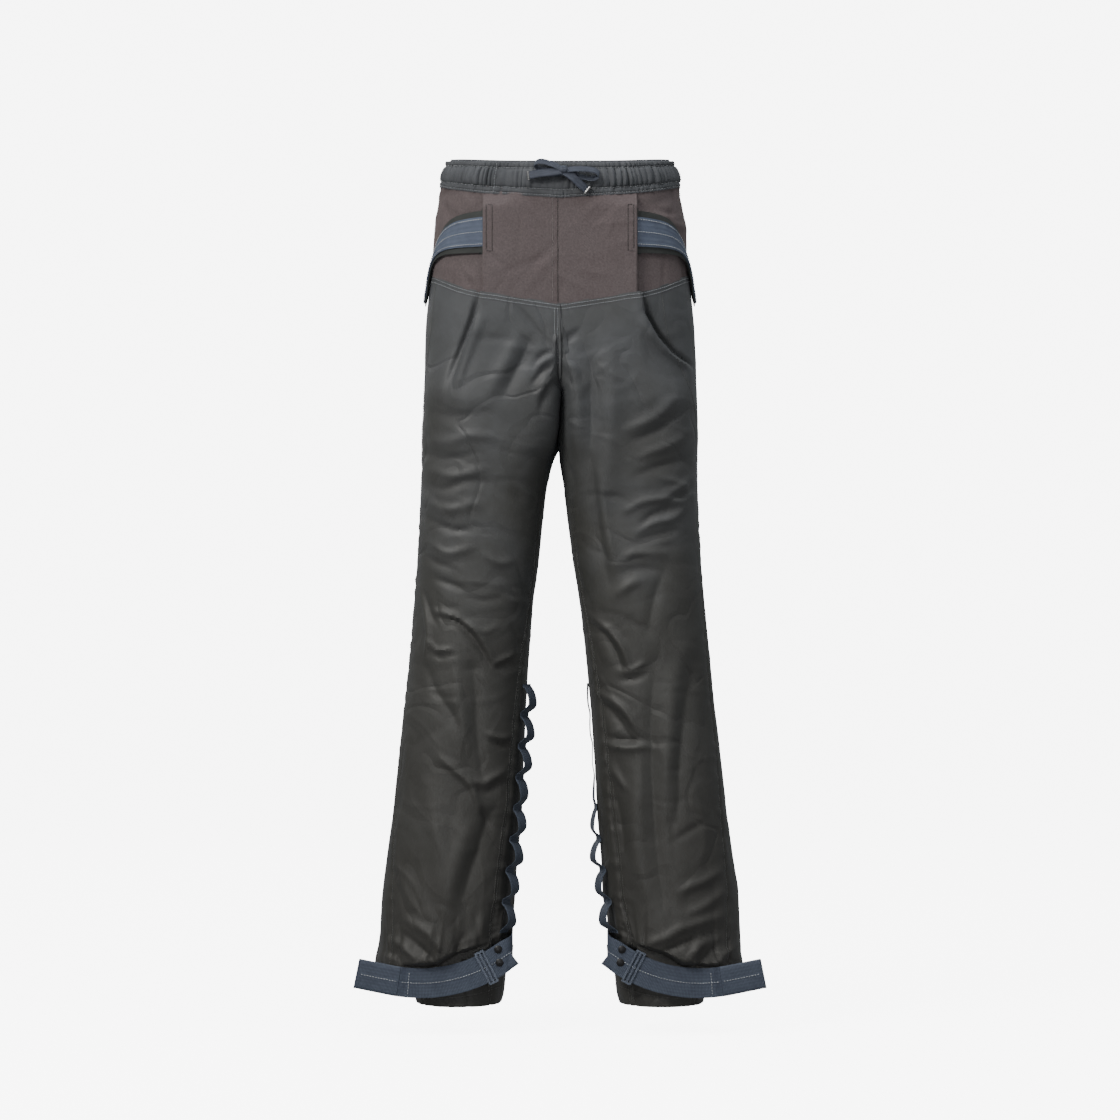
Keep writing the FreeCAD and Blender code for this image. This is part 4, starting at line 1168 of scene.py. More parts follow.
def topstitch_leg(name, side, grid, normals, looks):
    """Light rows below the yoke and at the middle seam, dark ones at the leg's seams and hem."""
    top = int(np.argmax(grid[:, 0, 2] < INNER_STITCH_TOP))
    last = len(grid) - 2
    light, dark = [], []
    for drop in YOKE_ROWS:
        light.append(row_line(grid, normals, drop, INNER_COLS, BACK_COLS))
    if side < 0:
        z = np.linspace(-189, -263, 60)
        for x in (NEAR_ROW, FAR_ROW):
            light.append(on_front(grid, normals, np.full_like(z, x), z))
    for col, first, offsets in (
        (INNER_COLS, top, (NEAR_ROW, FAR_ROW)),
        (SIDE_COLS, 2, (-NEAR_ROW,)),
        (BACK_COLS, top, (-NEAR_ROW, -FAR_ROW)),
    ):
        for offset in offsets:
            dark.append(column_line(grid, normals, col, offset, first, last))
    cols = np.arange(0, COLS + 0.1, 0.5)
    hem_row = np.full(len(cols), len(grid) - 1 - HEM_ROWS_UP)
    dark.append((on_grid(grid, hem_row, cols), on_grid(normals, hem_row, cols)))
    for label, lines, material in (("top", light, "leg_thread"), ("seam", dark, "seam_thread")):
        piece = thread_piece(f"{name}_leg_{label}_stitching", lines, looks[material], side)
        hang_from_hips(piece)


LINER_DEPTH, LINER_THICK = 9.0, 3.0
HEM_TURN_ROWS = 12


def line_leg(name, side, grid, normals, looks):
    """The quilted layers inside the front, and the turned-in hem."""
    first, last = (int(np.argmax(grid[:, 0, 2] < z)) for z in (LINER_START, LINER_END))
    rows = np.arange(first, last, 4)
    cols = np.arange(INNER_COLS + 2, SIDE_COLS - 1, 2)
    inner = grid[np.ix_(rows, cols)] - normals[np.ix_(rows, cols)] * LINER_DEPTH
    piece = soft_piece(
        f"{name}_leg_quilted_liner",
        wall(inner, LINER_THICK),
        looks["liner"],
        (f"{name}_leg_cut_liner",),
        side=side,
    )
    hang_from_hips(piece)
    low, low_normals = grid[-HEM_TURN_ROWS:], normals[-HEM_TURN_ROWS:]
    soft_piece(
        f"{name}_hem_turning",
        wall(low - low_normals * (CLOTH + 0.3), 1.0, wrap=True, normals=low_normals),
        looks["shell"],
        (f"{name}_hem_facing",),
        f"{name}_leg",
        side,
    )


# ---- yoke ----------------------------------------------------------------------------------------
YOKE_SIDE_SHARE = 0.475
YOKE_ROWS_DOWN = 46
YOKE_UNDERLAP, BAND_OVERLAP = 1.5, 10.0      # the panels run on below their seam and under the band
FLAT_COLS, HOME_COLS = 60, 8                 # columns of the flat panel, and of its tucked edge
# The turn of the pleat between those two, seen from above.
TURN = np.linspace(0, math.pi, 7)
PLEAT_TURN_X, PLEAT_TURN_Y = np.sin(TURN), 1 - np.cos(TURN)
# The box of stitches where the hip loop is held: outer and inner X, top and bottom z.
BOX_OUT, BOX_IN, BOX_TOP, BOX_LOW = 97.0, 86.0, -58.5, -117.5


def band_edge_z(share):
    """Height of the waistband's lower edge."""
    return smooth_through([0, 0.2, 0.5, 0.8, 1.0], [-50.0, -44.0, -29.0, -34.0, -38.0], share)


def band_top_z(share):
    """Height of the waistband's upper edge, which rises towards the sides."""
    return smooth_through([0, 0.15, 0.38, 0.5, 0.7, 1.0], [-5.5, -4.5, 1.5, 4.5, 3.0, 2.0], share)


def share_at_x(x, z):
    """The front share at which the round hips reach a given X."""
    share = np.linspace(0, 0.5, 400)
    return np.interp(x, hips(share, z)[:, 0], share)


def yoke_heights(share):
    """Heights of a yoke panel's rows, from under the band to below the yoke seam."""
    low, high = yoke_seam_z(share) - YOKE_UNDERLAP, band_edge_z(share) + BAND_OVERLAP
    return high + (low - high) * np.linspace(0, 1, YOKE_ROWS_DOWN)[:, None]


def ripple(grid, normals, seed, rise, count, length=(14, 45), width=(3, 7)):
    """Seeded shallow creases over an open grid."""
    rng = np.random.default_rng(seed)
    place = grid.reshape(-1, 3)
    height = np.zeros(len(place))
    for _ in range(count):
        at = place[rng.integers(len(place))]
        slope = rng.uniform(-0.9, 0.9) + rng.choice([0, math.pi / 2])
        gap = place - at
        u = np.hypot(gap[:, 0], gap[:, 1]) * np.sign(gap[:, 0] - gap[:, 1] * 0.3)
        a = u * math.cos(slope) + gap[:, 2] * math.sin(slope)
        b = -u * math.sin(slope) + gap[:, 2] * math.cos(slope)
        reach, thin = rng.uniform(*length), rng.uniform(*width)
        height += rng.choice([-1, 1]) * rise * np.exp(-((a / reach) ** 2) - (b / thin) ** 2)
    return grid + normals * height.reshape(grid.shape[:2])[..., None]


def yoke_front(side):
    """The flat middle panel, with its outer edge turned back as a pleat."""
    edge = PLEAT_X - 1.5
    flat = np.linspace(-3.0 * side, edge, FLAT_COLS)
    home = np.linspace(edge, PLEAT_X - 20, HOME_COLS)
    xs = np.concatenate([flat, edge + 1.5 * PLEAT_TURN_X, home])
    depth = np.concatenate([np.zeros(FLAT_COLS), 2.0 * PLEAT_TURN_Y, np.full(HOME_COLS, 4.0)])
    share = share_at_x(np.abs(xs), -100.0)
    z = yoke_heights(share)
    x = np.broadcast_to(xs, z.shape)
    width, front = (np.interp(-z, -HIPS[:, 0], HIPS[:, k]) for k in (1, 2))
    y = front * (1 - np.clip(np.abs(x) / width, 0, 0.98) ** ROUND) ** (1 / ROUND)
    proud = stands_out(x, z)
    sunk = np.concatenate([np.zeros(FLAT_COLS + len(TURN)), np.linspace(0, 1, HOME_COLS)])
    return np.stack([x, y - proud + depth + (proud - 3.0) * sunk, z], axis=-1)


def yoke_round(first, last, columns):
    """A side or back panel between two shares."""
    share = np.linspace(first, last, columns)
    z = yoke_heights(share)
    return hips(np.broadcast_to(share, z.shape), z)


def make_yoke(name, side, looks):
    """Three brown panels of one half, with their creases and stitches."""
    tucked = share_at_x(PLEAT_X - 14, -100.0)
    # Part: its grid, how many creases it has and how high they are.
    panels = {
        "yoke_front_panel": (yoke_front(side), 10, 0.8),
        "yoke_side_panel": (yoke_round(tucked, YOKE_SIDE_SHARE, 60), 26, 1.3),
        "yoke_back_panel": (yoke_round(YOKE_SIDE_SHARE, 1.0, 90), 26, 1.1),
    }
    rows_of_thread = []
    for number, (part, (grid, creases, rise)) in enumerate(panels.items()):
        normals = grid_normals(grid)
        # Only the flat part of the front panel is creased, not its turned edge.
        last = FLAT_COLS - 2 if part == "yoke_front_panel" else grid.shape[1]
        seed = 50 + 3 * number + side
        creased = ripple(grid[:, :last], normals[:, :last], seed, rise, creases)
        grid = np.concatenate([creased, grid[:, last:]], axis=1)
        node, shape = f"{name}_{part}", wall(grid, CLOTH)
        soft_piece(
            f"{node}_cloth", shape, looks["canvas"], (node,), "root", side
        )
        if part == "yoke_front_panel":
            rows_of_thread += front_panel_threads(grid, normals, side)
            if side < 0:
                row = (grid[:, 4], normals[:, 4])
                material = looks["centre_thread"]
                thread_piece("yoke_centre_stitching", [row], material, side, "root")
        if part == "yoke_back_panel":
            rows_of_thread.append((grid[:, 3], normals[:, 3]))
            rows_of_thread.append((grid[:, -4], normals[:, -4]))
    material = looks["yoke_thread"]
    label = f"{name}_yoke_topstitching"
    thread_piece(label, rows_of_thread, material, side, "root", pitch=2.7, radius=0.5)


def front_panel_threads(grid, normals, side):
    """The box sewn where the hip loop is held and, on the right panel, the middle seam's crease."""
    lines = []
    if side < 0:
        lines.append((grid[:, 0] + (0, -0.2, 0), normals[:, 0]))
    corners = [(BOX_OUT, BOX_TOP), (BOX_OUT, BOX_LOW), (BOX_IN, BOX_LOW), (BOX_IN, BOX_TOP)]
    surface_x = grid[0, : FLAT_COLS - 2, 0]
    for (x0, z0), (x1, z1) in zip(corners, corners[1:] + corners[:1]):
        t = np.linspace(0, 1, 30)
        x, z = x0 + (x1 - x0) * t, z0 + (z1 - z0) * t
        cols = np.interp(x, surface_x, np.arange(FLAT_COLS - 2))
        rows = np.interp(-z, -grid[:, FLAT_COLS - 5, 2], np.arange(len(grid)))
        place = on_grid(grid, rows, cols)
        lines.append((place, on_grid(normals, rows, cols)))
    return lines


# ---- waistband -----------------------------------------------------------------------------------
# Across the band: distance down its face (share of its height), outward, inward roll at the top.
BAND_PROFILE = [
    (-0.075, -3.6), (-0.02, -3.4), (0.012, -2.2), (0.016, -0.4), (0.0, 1.0), (0.05, 1.7),
    (0.11, 1.5), (0.17, 0.3), (0.23, 1.8), (0.34, 3.0), (0.48, 3.5), (0.62, 3.0), (0.72, 1.8),
    (0.775, 0.5), (0.83, 1.5), (0.90, 1.4), (0.945, 0.4), (0.975, 1.0), (1.0, 0.9),
]
BAND_ROWS, BAND_COLS = 58, 560
BAND_THREADS = (0.17, 0.775, 0.945)      # how far down the band its level rows of stitches lie
SIDE_THREADS = {"front": (-0.19,), "back": (0.502, 0.508)}   # and its upright ones, round it
GATHER_PITCH = 8.5
GATHER_LOW, GATHER_HIGH = -2.6, 4.6
BAND_LENGTH = 480.0      # round half of the band
# Zones of gathers: from, to (share of the band's height), closeness and height of the ripples.
GATHER_ZONES = ((-0.3, 0.17, 1.35, 0.6), (0.17, 0.78, 1.0, 1.0), (0.78, 1.3, 1.2, 0.35))


def band_point(s, down, out):
    """A point of the waistband: s 0 is the front middle, 1 the back middle, past it the right."""
    share = np.where(s > 1, 2 - s, np.abs(s))
    sign = np.where((s > 1) | (s < 0), -1.0, 1.0)
    top = band_top_z(share)
    z = top + (band_edge_z(share) - top) * down
    ring = hips(share, z)
    nudge = hips(np.clip(share + 0.004, 0, 1), z) - hips(np.clip(share - 0.004, 0, 1), z)
    normal = unit(np.stack([-nudge[..., 1], nudge[..., 0], np.zeros_like(z)], axis=-1))
    ring = ring - normal * out[..., None]
    ring[..., 0] *= sign
    return ring


def gather_strength(s):
    """How strongly the elastic gathers the band: little beside the bow, most near the sides."""
    x = np.where(s > 1, 2 - s, np.abs(s))
    calm_to = np.where(s < 0, 0.15, 0.07)
    return 0.50 + 0.65 * fade(x, calm_to - 0.05, calm_to + 0.08)


def wander(s, rng, waves, rise):
    """A smooth seeded line made of a few sines."""
    total = np.zeros_like(s)
    for _ in range(waves):
        total += np.sin(s * rng.uniform(15, 75) + rng.uniform(0, 6.28))
    return rise * total / math.sqrt(waves)


def gathers(s, down, seed):
    """Upright ripples with sharp valleys; they differ above, on and below the elastic."""
    rng = np.random.default_rng(seed)
    height = np.zeros_like(s)
    for low, high, fine, size in GATHER_ZONES:
        drift = wander(s, rng, 5, 0.42)
        lean = wander(s, rng, 3, 0.30)
        phase = s * BAND_LENGTH / GATHER_PITCH * fine + drift + lean * down
        ridge = np.abs(np.sin(math.pi * phase)) ** 0.7
        second = np.abs(np.sin(math.pi * (phase * 0.61 + 0.3))) ** 0.8
        swell = 0.65 + wander(s, rng, 5, 0.30)
        zone = fade(down, low - 0.03, low + 0.05) * (1 - fade(down, high - 0.05, high + 0.03))
        height += (4.2 * ridge + 2.4 * second - 3.2) * swell * zone * size
    return height * gather_strength(s)


def make_waistband(looks):
    """The gathered casing, front and back, with its stitches and everything inside it."""
    profile = np.array(BAND_PROFILE)
    t = np.linspace(0, len(profile) - 1, BAND_ROWS)
    down = np.interp(t, np.arange(len(profile)), profile[:, 0])
    out = smooth_through(np.arange(len(profile)), profile[:, 1], t)
    rows_of_thread = []
    for part, first, last, seed in (("front", -0.5, 0.5, 71), ("back", 0.5, 1.5, 72)):
        s, d = np.meshgrid(np.linspace(first, last, BAND_COLS), down)
        height = np.clip(gathers(s, d, seed), GATHER_LOW, GATHER_HIGH) * fade(d, -0.05, 0.03)
        d = d - 0.012 * height * (1 - fade(d, 0.0, 0.10))
        grid = band_point(s, d, out[:, None] + height)
        normals = grid_normals(grid)
        node = f"waistband_{part}_casing"
        soft_piece(
            f"{node}_cloth", wall(grid, 1.2), looks["band"], (node,), "root"
        )
        for share in BAND_THREADS:
            row = int(np.argmin(np.abs(down - share) + (out < -0.5) * 9))
            rows_of_thread.append((grid[row], normals[row]))
        for edge in SIDE_THREADS[part]:
            col = int(np.interp(edge, s[0], np.arange(BAND_COLS)))
            rows_of_thread.append((grid[8:, col], normals[8:, col]))
    material = looks["band_thread"]
    thread_piece(
        "waistband_topstitching", rows_of_thread, material, body="root", pitch=3.4, lift=0.7
    )
    line_waistband(looks)
    fill_waistband(looks)


def fill_waistband(looks):
    """The elastic and the hidden run of the drawstring, inside the band."""
    eyelet = 21.0 / BAND_LENGTH
    # Name, slot, material, where it starts and ends round the band, its upper and lower edge as
    # shares of the band's height, how far out it lies, its thickness.
    runs = (
        ("waist_elastic", "elastic", "elastic", (-1, 0.999), (0.24, 0.72), -2.6, 0.9),
        ("drawstring_in_waistband", "drawstring_tape", "drawstring", (eyelet, 2 - eyelet),
         (0.28, 0.50), -1.5, 0.6),
    )
    for name, slot, look, ends, edges, out, thick in runs:
        s, down = np.meshgrid(np.linspace(*ends, 400), np.linspace(*edges, 6))
        shape = wall(band_point(s, down, np.full_like(s, out)), thick)
        soft_piece(f"{name}_inside", shape, looks[look], (name,), "root")


def line_waistband(looks):
    """The smooth inner side of the band."""
    s, down = np.meshgrid(np.linspace(-1, 1, 361)[:-1], np.linspace(0.0, 0.96, 14))
    shape = wall(band_point(s, down, -4.6 + 0.5 * gathers(s, down, 73)), 1.0, wrap=True)
    node = "waistband_inner_facing"
    soft_piece("waistband_inner_lining", shape, looks["band"], (node,), "root")


# ---- drawstring ----------------------------------------------------------------------------------
CORD_WIDTH = 11.0
CORD_THICK = 1.2
BOW_X = 3.0
BOW_FACE_Y = -102.0
KNOT = np.array([4.0, -109.2, -16.0])
KNOT_HALF = np.array([4.4, 6.0, 5.2])
LOOP_TWIST, TAIL_TWIST = 48.0, 22.0      # degrees the tape leans back from upright
CORD_COLS = 220
# Each end: its loop, out and back, and its tail as (distance out from the knot, distance in front
# of the band, rise), then how far each is tilted up, in degrees.
BOW = {
    "right": (
        [(3, 8, 1), (17, 9.6, 4.5), (31, 8.6, 4.5), (37, 6.6, -0.5)]
        + [(30, 4.4, -5), (17, 4.8, -4), (3, 5.6, -1)],
        [(2.5, 11.6, 0), (17, 12, 0), (31, 11, 0.5), (43, 8, 0)],
        14.0,
        -8.0,
    ),
    "left": (
        [(3, 8, 1), (21, 9.8, 4.5), (39, 8.6, 5), (46, 6.6, 0)]
        + [(39, 4.4, -5), (21, 4.8, -4.5), (3, 5.6, -1)],
        [(2.5, 11.6, 0), (15, 12, 1), (27, 10.6, 0), (38, 7.6, 0)],
        -7.0,
        -39.0,
    ),
}


def bow_points(points, side, tilt, twist):
    """Points of a loop or a tail, and the direction across the tape there."""
    a, b = math.radians(tilt), math.radians(twist)
    out = np.array([side * math.cos(a), 0, math.sin(a)])
    up = np.array([-side * math.sin(a), 0, math.cos(a)])
    across = up * math.cos(b) + np.array([0, 1, 0]) * math.sin(b)
    place = [
        KNOT * (1, 0, 1) + out * o + up * rise + (0, BOW_FACE_Y - f, 0) for o, f, rise in points
    ]
    return place, [across] * len(points)


def make_drawstring(name, side, looks):
    """One end: out of its eyelet, round its loop, through the knot and along its tail."""
    loop, tail, loop_tilt, tail_tilt = BOW[name]
    eyelet_x = BOW_X + side * 18.0
    place = [
        (eyelet_x, -100.0, -18.0),
        (eyelet_x - side * 0.5, -106.4, -18.0),
        (KNOT[0] + side * 2, -105.4, -17.0),
    ]
    across = [np.array((0, 0, 1.0))] * len(place)
    for points, tilt, twist in ((loop, loop_tilt, LOOP_TWIST), (tail, tail_tilt, TAIL_TWIST)):
        more, ways = bow_points(points, side, tilt, twist)
        place += more
        across += ways
    place, across = np.array(place), np.array(across)
    knots = lengths_along(place)
    line = resample(smooth_through(knots, place, np.linspace(0, knots[-1], 260)), CORD_COLS)
    ways = smooth_through(knots / knots[-1], across, np.linspace(0, 1, CORD_COLS))
    shape = ribbon(line, ways, CORD_WIDTH, CORD_THICK, crown=0.5)
    end = f"drawstring_{name}_end"
    material = looks["drawstring"]
    piece = soft_piece(f"{end}_tape", shape, material, (end,), "root")


def knot_core():
    """A filled ball inside the wraps: (points, faces)."""
    turns, levels = 16, 9
    core = []
    for v in np.linspace(-1.5, 1.5, levels):
        for u in np.linspace(0, 2 * math.pi, turns + 1)[:-1]:
            way = (math.cos(v) * math.cos(u), math.cos(v) * math.sin(u), math.sin(v))
            core.append(KNOT + KNOT_HALF * 0.78 * way)
    faces = []
    for r in range(levels - 1):
        for c in range(turns):
            here, there = r * turns + c, r * turns + (c + 1) % turns
            faces.append((here, there, there + turns, here + turns))
    faces += [tuple(reversed(range(turns))), tuple(range((levels - 1) * turns, levels * turns))]
    return np.array(core), faces


def make_knot(looks):
    """The tape wrapped over itself where the bow is tied."""
    a = np.linspace(0, 2 * math.pi, 49)
    parts = []
    for turn, width, size in ((0.15, 10.0, 1.0), (-0.5, 7.0, 0.82)):
        across = np.array([math.cos(turn), 0, math.sin(turn)])
        up = np.array([-math.sin(turn), 0, math.cos(turn)])
        ring = KNOT + np.outer(np.cos(a), up * KNOT_HALF[2] * size)
        ring += np.outer(np.sin(a), np.array([0, -1, 0]) * KNOT_HALF[1] * size)
        parts.append(ribbon(ring, np.tile(across, (len(a), 1)), width * size, 1.3, crown=-0.6))
    shape = joined(parts + [knot_core()])
    node, material = "drawstring_knot", looks["drawstring"]
    soft_piece(f"{node}_tape", shape, material, (node,), "root")


# ---- hip loops -----------------------------------------------------------------------------------
LOOP_CENTRE = np.array([53.2, 5.5])
LOOP_RADIUS = 116.8
LOOP_END_X = 88.0
# The front half of each loop: y, top edge z, bottom edge z. The back half mirrors it.
LOOP_EDGES = np.array(
    [
        (-106, -65, -119.5),
        (-83, -71, -119.5),
        (-69, -79, -120),
        (-56, -92, -123),
        (-44, -111, -131),
        (-30, -134, -151),
        (-17, -150, -172),
        (5.5, -156, -182),
        (28, -150, -172),
    ]
)
LOOP_ROWS, LOOP_COLS = 13, 150
LOOP_FULL_HALF = 27.0    # half the strap's width, which looks less where the strap tips over


def hip_loop_grid(narrower, stand):
    """The strap as a grid: rows from its top edge to its bottom edge, columns front to back."""
    reach = math.acos((LOOP_END_X - LOOP_CENTRE[0]) / LOOP_RADIUS)
    a = np.linspace(-reach, reach, LOOP_COLS)
    out = np.stack([np.cos(a), np.sin(a), np.zeros_like(a)], axis=1)
    y = LOOP_CENTRE[1] + LOOP_RADIUS * np.sin(a)
    front_y = np.where(y > LOOP_CENTRE[1], 2 * LOOP_CENTRE[1] - y, y)
    top, low = (smooth_through(LOOP_EDGES[:, 0], LOOP_EDGES[:, k], front_y) for k in (1, 2))
    middle, half = (top + low) / 2, (top - low) / 2
    lost = np.clip(1 - half / LOOP_FULL_HALF, 0, 1)
    w = np.linspace(-1, 1, LOOP_ROWS)[:, None]
    z = middle - w * half * narrower
    tucked = np.interp(y, [-107, -98, -72, 85, 105, 118], [-3.6, -2.6, 0, 0, -3.0, -7.0])
    radius = LOOP_RADIUS + stand + tucked + lost * (1.0 + 4.5 * w * narrower) + 0 * z
    radius = radius + lost * 2.5 * (1 - (w * narrower) ** 2)
    plan = out[None] * radius[..., None]
    plan[..., 0] += LOOP_CENTRE[0]
    plan[..., 1] += LOOP_CENTRE[1]
    plan[..., 2] = z
    return plan


PATCH_X, PATCH_Z = (82, 101), (-63, -121)
PATCH_LIFT, BACK_PATCH_LIFT = 1.3, 2.0


def make_anchor(name, side, looks, end, back):
    """The patch of cloth under each sewn end of a loop."""
    xs, middle_z = np.linspace(*PATCH_X, 8), sum(PATCH_Z) / 2
    share = share_at_x(xs, middle_z)
    if back:
        table = np.linspace(0.5, 1.0, 400)
        share = np.interp(-xs, -hips(table, middle_z)[:, 0], table)
    grid = hips(*np.meshgrid(share, np.linspace(*PATCH_Z, 20)))
    if back:
        grid = grid[:, ::-1]
    shape = wall(grid, 1.0, lift=BACK_PATCH_LIFT if back else PATCH_LIFT)
    label, node = f"{name}_hip_loop_{end}_patch", f"{name}_hip_loop_{end}_anchor"
    soft_piece(label, shape, looks["backing"], (node,), "root", side)


def make_hip_loop(name, side, looks):
    """The strap with its backing, its two patches and its stitches."""
    # Part, slot, material, width as a share of the backing's, how far out it lies, thickness.
    layers = (
        ("hip_loop_backing", "band_cloth", looks["backing"], 1.0, 1.2, 1.2),
        ("hip_loop_webbing", "hip_webbing", looks["hip_webbing"], 38 / 54, 2.9, 1.6),
    )
    body = f"{name}_hip_loop"
    for part, slot, material, narrower, stand, thick in layers:
        node, grid = f"{name}_{part}", hip_loop_grid(narrower, stand)
        soft_piece(f"{node}_cloth", wall(grid, thick), material, (node,), body, side)
    for end, back in (("front", False), ("back", True)):
        make_anchor(name, side, looks, end, back)
    normals = grid_normals(grid)
    rows = [(grid[row], normals[row]) for row in (6, 1, 11)]
    material = looks["webbing_thread"]
    thread_piece(f"{body}_stitching", rows, material, side, body, pitch=3.6, radius=0.45)


# ---- hem belts -----------------------------------------------------------------------------------
BELT_HINGE_X = 200.0
BELT_STRAIGHT_RUN = 44.0
BELT_CORNER = 9.0
BELT_INNER_Y = -18.0
BELT_FOLD_START = 206.0
TAB_ARC = (38.0, 30.5)                   # degrees before the belt's lowest point
FACE_FRONT = (0.0, -1.0, 0.0)


def belt_across(x):
    """The direction across the belt, seen from the front, at X."""
    slope = belt_line_z(x + 0.5) - belt_line_z(x - 0.5)
    return unit(np.stack([-slope, np.zeros_like(slope), np.ones_like(slope)], axis=-1))


def belt_end_x():
    """X where the belt's free end stops."""
    joint_x = BELT_LOW_X + BELT_RADIUS * math.sin(BELT_STRAIGHT)
    return joint_x + BELT_STRAIGHT_RUN * math.cos(BELT_STRAIGHT)


PLAN_LEAD, PLAN_SPARE = 30.0, 40.0       # the plan runs on past the belt, before and after it


def belt_plan():
    """The belt's outer face seen from above, inner end to free end: (distance, X, y)."""
    x0, y0 = BELT_INNER_X + BELT_CORNER, BELT_BACK_Y + BELT_CORNER
    r = BELT_CORNER + BELT_THICK
    a = np.linspace(0, math.pi / 2, 16)
    corner = np.stack([x0 - r * np.cos(a), y0 - r * np.sin(a)], axis=1)
    first = np.array([[x0 - r, BELT_INNER_Y + PLAN_LEAD]])
    last = np.array([[belt_end_x() + PLAN_SPARE, y0 - r]])
    plan = np.concatenate([first, corner, last])
    return np.column_stack([lengths_along(plan) - PLAN_LEAD, plan])


def belt_grid(stations):
    """The belt wrapped round the leg: rows from its top edge to its bottom edge."""
    plan = belt_plan()
    front_start = plan[-2, 0]
    x = np.interp(stations, plan[:, 0], plan[:, 1])
    front = belt_line_z(np.maximum(x, plan[-2, 1]))
    corner_slope = float(belt_line_z(plan[-2, 1] + 1) - belt_line_z(plan[-2, 1]))
    t = np.clip(stations / front_start, 0, 1)
    z = front - corner_slope * front_start / 4 * (1 - t**4)
    slope = np.gradient(z, stations)
    size = np.sqrt(1 + slope**2)
    w = np.linspace(BELT_WIDTH / 2, -BELT_WIDTH / 2, 11)[:, None]
    along = stations - w * slope / size
    grid = [np.interp(along, plan[:, 0], plan[:, k]) for k in (1, 2)]
    return np.stack([*grid, z + w / size], axis=-1)


def belt_piece(name, side, label, nodes, layers, looks, rows=()):
    """A piece of hem webbing and its stitching, returned to the caller."""
    nodes = [f"{name}_{node}" for node in nodes]
    label, material = f"{name}_{label}", looks["hem_webbing"]
    piece = soft_piece(
        f"{label}_webbing", joined(layers), material, nodes, side=side
    )
    if not rows:
        return [piece]
    material = looks["webbing_thread"]
    sewn = thread_piece(f"{label}_stitching", rows, material, side, pitch=3.6, radius=0.4)
    return [piece, sewn]


def fold_with_belt_end(pieces):
    """The belt's webbing pieces, with their placement baked into their meshes."""
    for piece in pieces:
        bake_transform(piece)


def make_hem_belt(name, side, looks):
    """The belt across the front with its free end, its stud tab and its run round the leg."""
    front, front_x = belt_plan()[-2, :2]
    hinge = front + BELT_HINGE_X - front_x
    end = front + belt_end_x() - front_x
    stations = np.concatenate(
        [
            np.linspace(0, front, 34)[:-1],
            np.linspace(front, hinge - 3, 66),
            np.linspace(hinge - 2.5, hinge + 2.5, 11),
            np.linspace(hinge + 3.5, end, 28),
        ]
    )
    grid = belt_grid(stations)
    normals = grid_normals(grid)
    band = wall(grid, BELT_THICK, normals=normals)
    bare = stations < hinge + BELT_FOLD_START - BELT_HINGE_X - 1
    rows = [(grid[5][bare], normals[5][bare]), cross_stitch(193.0, BELT_BACK_Y - BELT_THICK, 15.5)]
    nodes = ("hem_belt_front", "hem_belt_free_end")
    pieces = belt_piece(name, side, "hem_belt", nodes, [band], looks, rows)
    pieces += folded_end(name, side, looks)
    fold_with_belt_end(pieces)
    tab_x = BELT_LOW_X - BELT_RADIUS * np.sin(np.radians(np.linspace(*TAB_ARC, 8)))
    tab = along_belt(tab_x, BELT_BACK_Y + BELT_THICK / 2)
    band = ribbon(tab, belt_across(tab_x), BELT_WIDTH - 1, BELT_THICK)
    for piece in belt_piece(name, side, "stud_tab", ("hem_belt_stud_tab",), [band], looks):
        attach(piece, f"{name}_leg")
    make_under_belt(name, side, looks)


def along_belt(xs, y):
    """Points on the belt's centre line at each X, at a set y."""
    return np.stack([xs, np.full_like(xs, y), belt_line_z(xs)], axis=1)


def cross_stitch(x, face_y, half):
    """A row of stitches straight across the belt at X."""
    drop = np.linspace(-half, half, 24)
    xs = np.full(len(drop), x)
    line = along_belt(xs, face_y) + belt_across(xs) * drop[:, None]
    return line, np.tile(FACE_FRONT, (len(drop), 1))


def folded_end(name, side, looks):
    """The last stretch of the belt, folded back over itself and sewn."""
    end_x = belt_end_x()
    xs = np.linspace(BELT_FOLD_START, end_x, 30)
    line = along_belt(xs, BELT_BACK_Y - 1.5 * BELT_THICK)
    layers = [ribbon(line, belt_across(xs), BELT_WIDTH, BELT_THICK)]
    turn = np.linspace(-math.pi / 2, math.pi / 2, 11)
    xs = np.full_like(turn, end_x - 0.4)
    fold = along_belt(xs, BELT_BACK_Y - BELT_THICK)
    fold[:, 0] += 1.5 * np.cos(turn)
    fold[:, 1] += BELT_THICK * np.sin(turn)
    layers.append(ribbon(fold, belt_across(xs), BELT_WIDTH, BELT_THICK / 2))
    xs = np.linspace(BELT_FOLD_START + 2, end_x - 2, 30)
    row = (along_belt(xs, BELT_BACK_Y - 2 * BELT_THICK), np.tile(FACE_FRONT, (len(xs), 1)))
    return belt_piece(name, side, "belt_end_fold", (), layers, looks, [row])


UNDER_BELT = (205.8, 63.9, -69.6, 70.4, 2.3, 2.3)    # a ring like those of the leg


def make_under_belt(name, side, looks):
    """The belt's run round the leg, just outside the drawn-in cloth."""
    flat = closed_ring(*UNDER_BELT, np.linspace(0, 1, 181)[:-1])
    centre = cuff_line_z(flat[:, 0], flat[:, 1])
    heights = np.linspace(BELT_WIDTH / 2, -BELT_WIDTH / 2, 9)
    grid = np.array([np.column_stack([flat, centre + above]) for above in heights])
    node, shape = f"{name}_hem_under_belt", wall(grid, BELT_THICK, wrap=True)
    material = looks["hem_webbing"]
    soft_piece(
        f"{node}_webbing", shape, material, (node,), f"{name}_leg", side
    )


# ---- tape sewn in loops down each inner seam -----------------------------------------------------
TAPE_TOP_Z = -668.0
TAPE_BOTTOM_Z = -985.0
TAPE_LOOPS = 8
TAPE_TACK = 0.16
TAPE_BULGE = 12.0
TAPE_WIDTH = 20.0
TAPE_THICK = 1.2
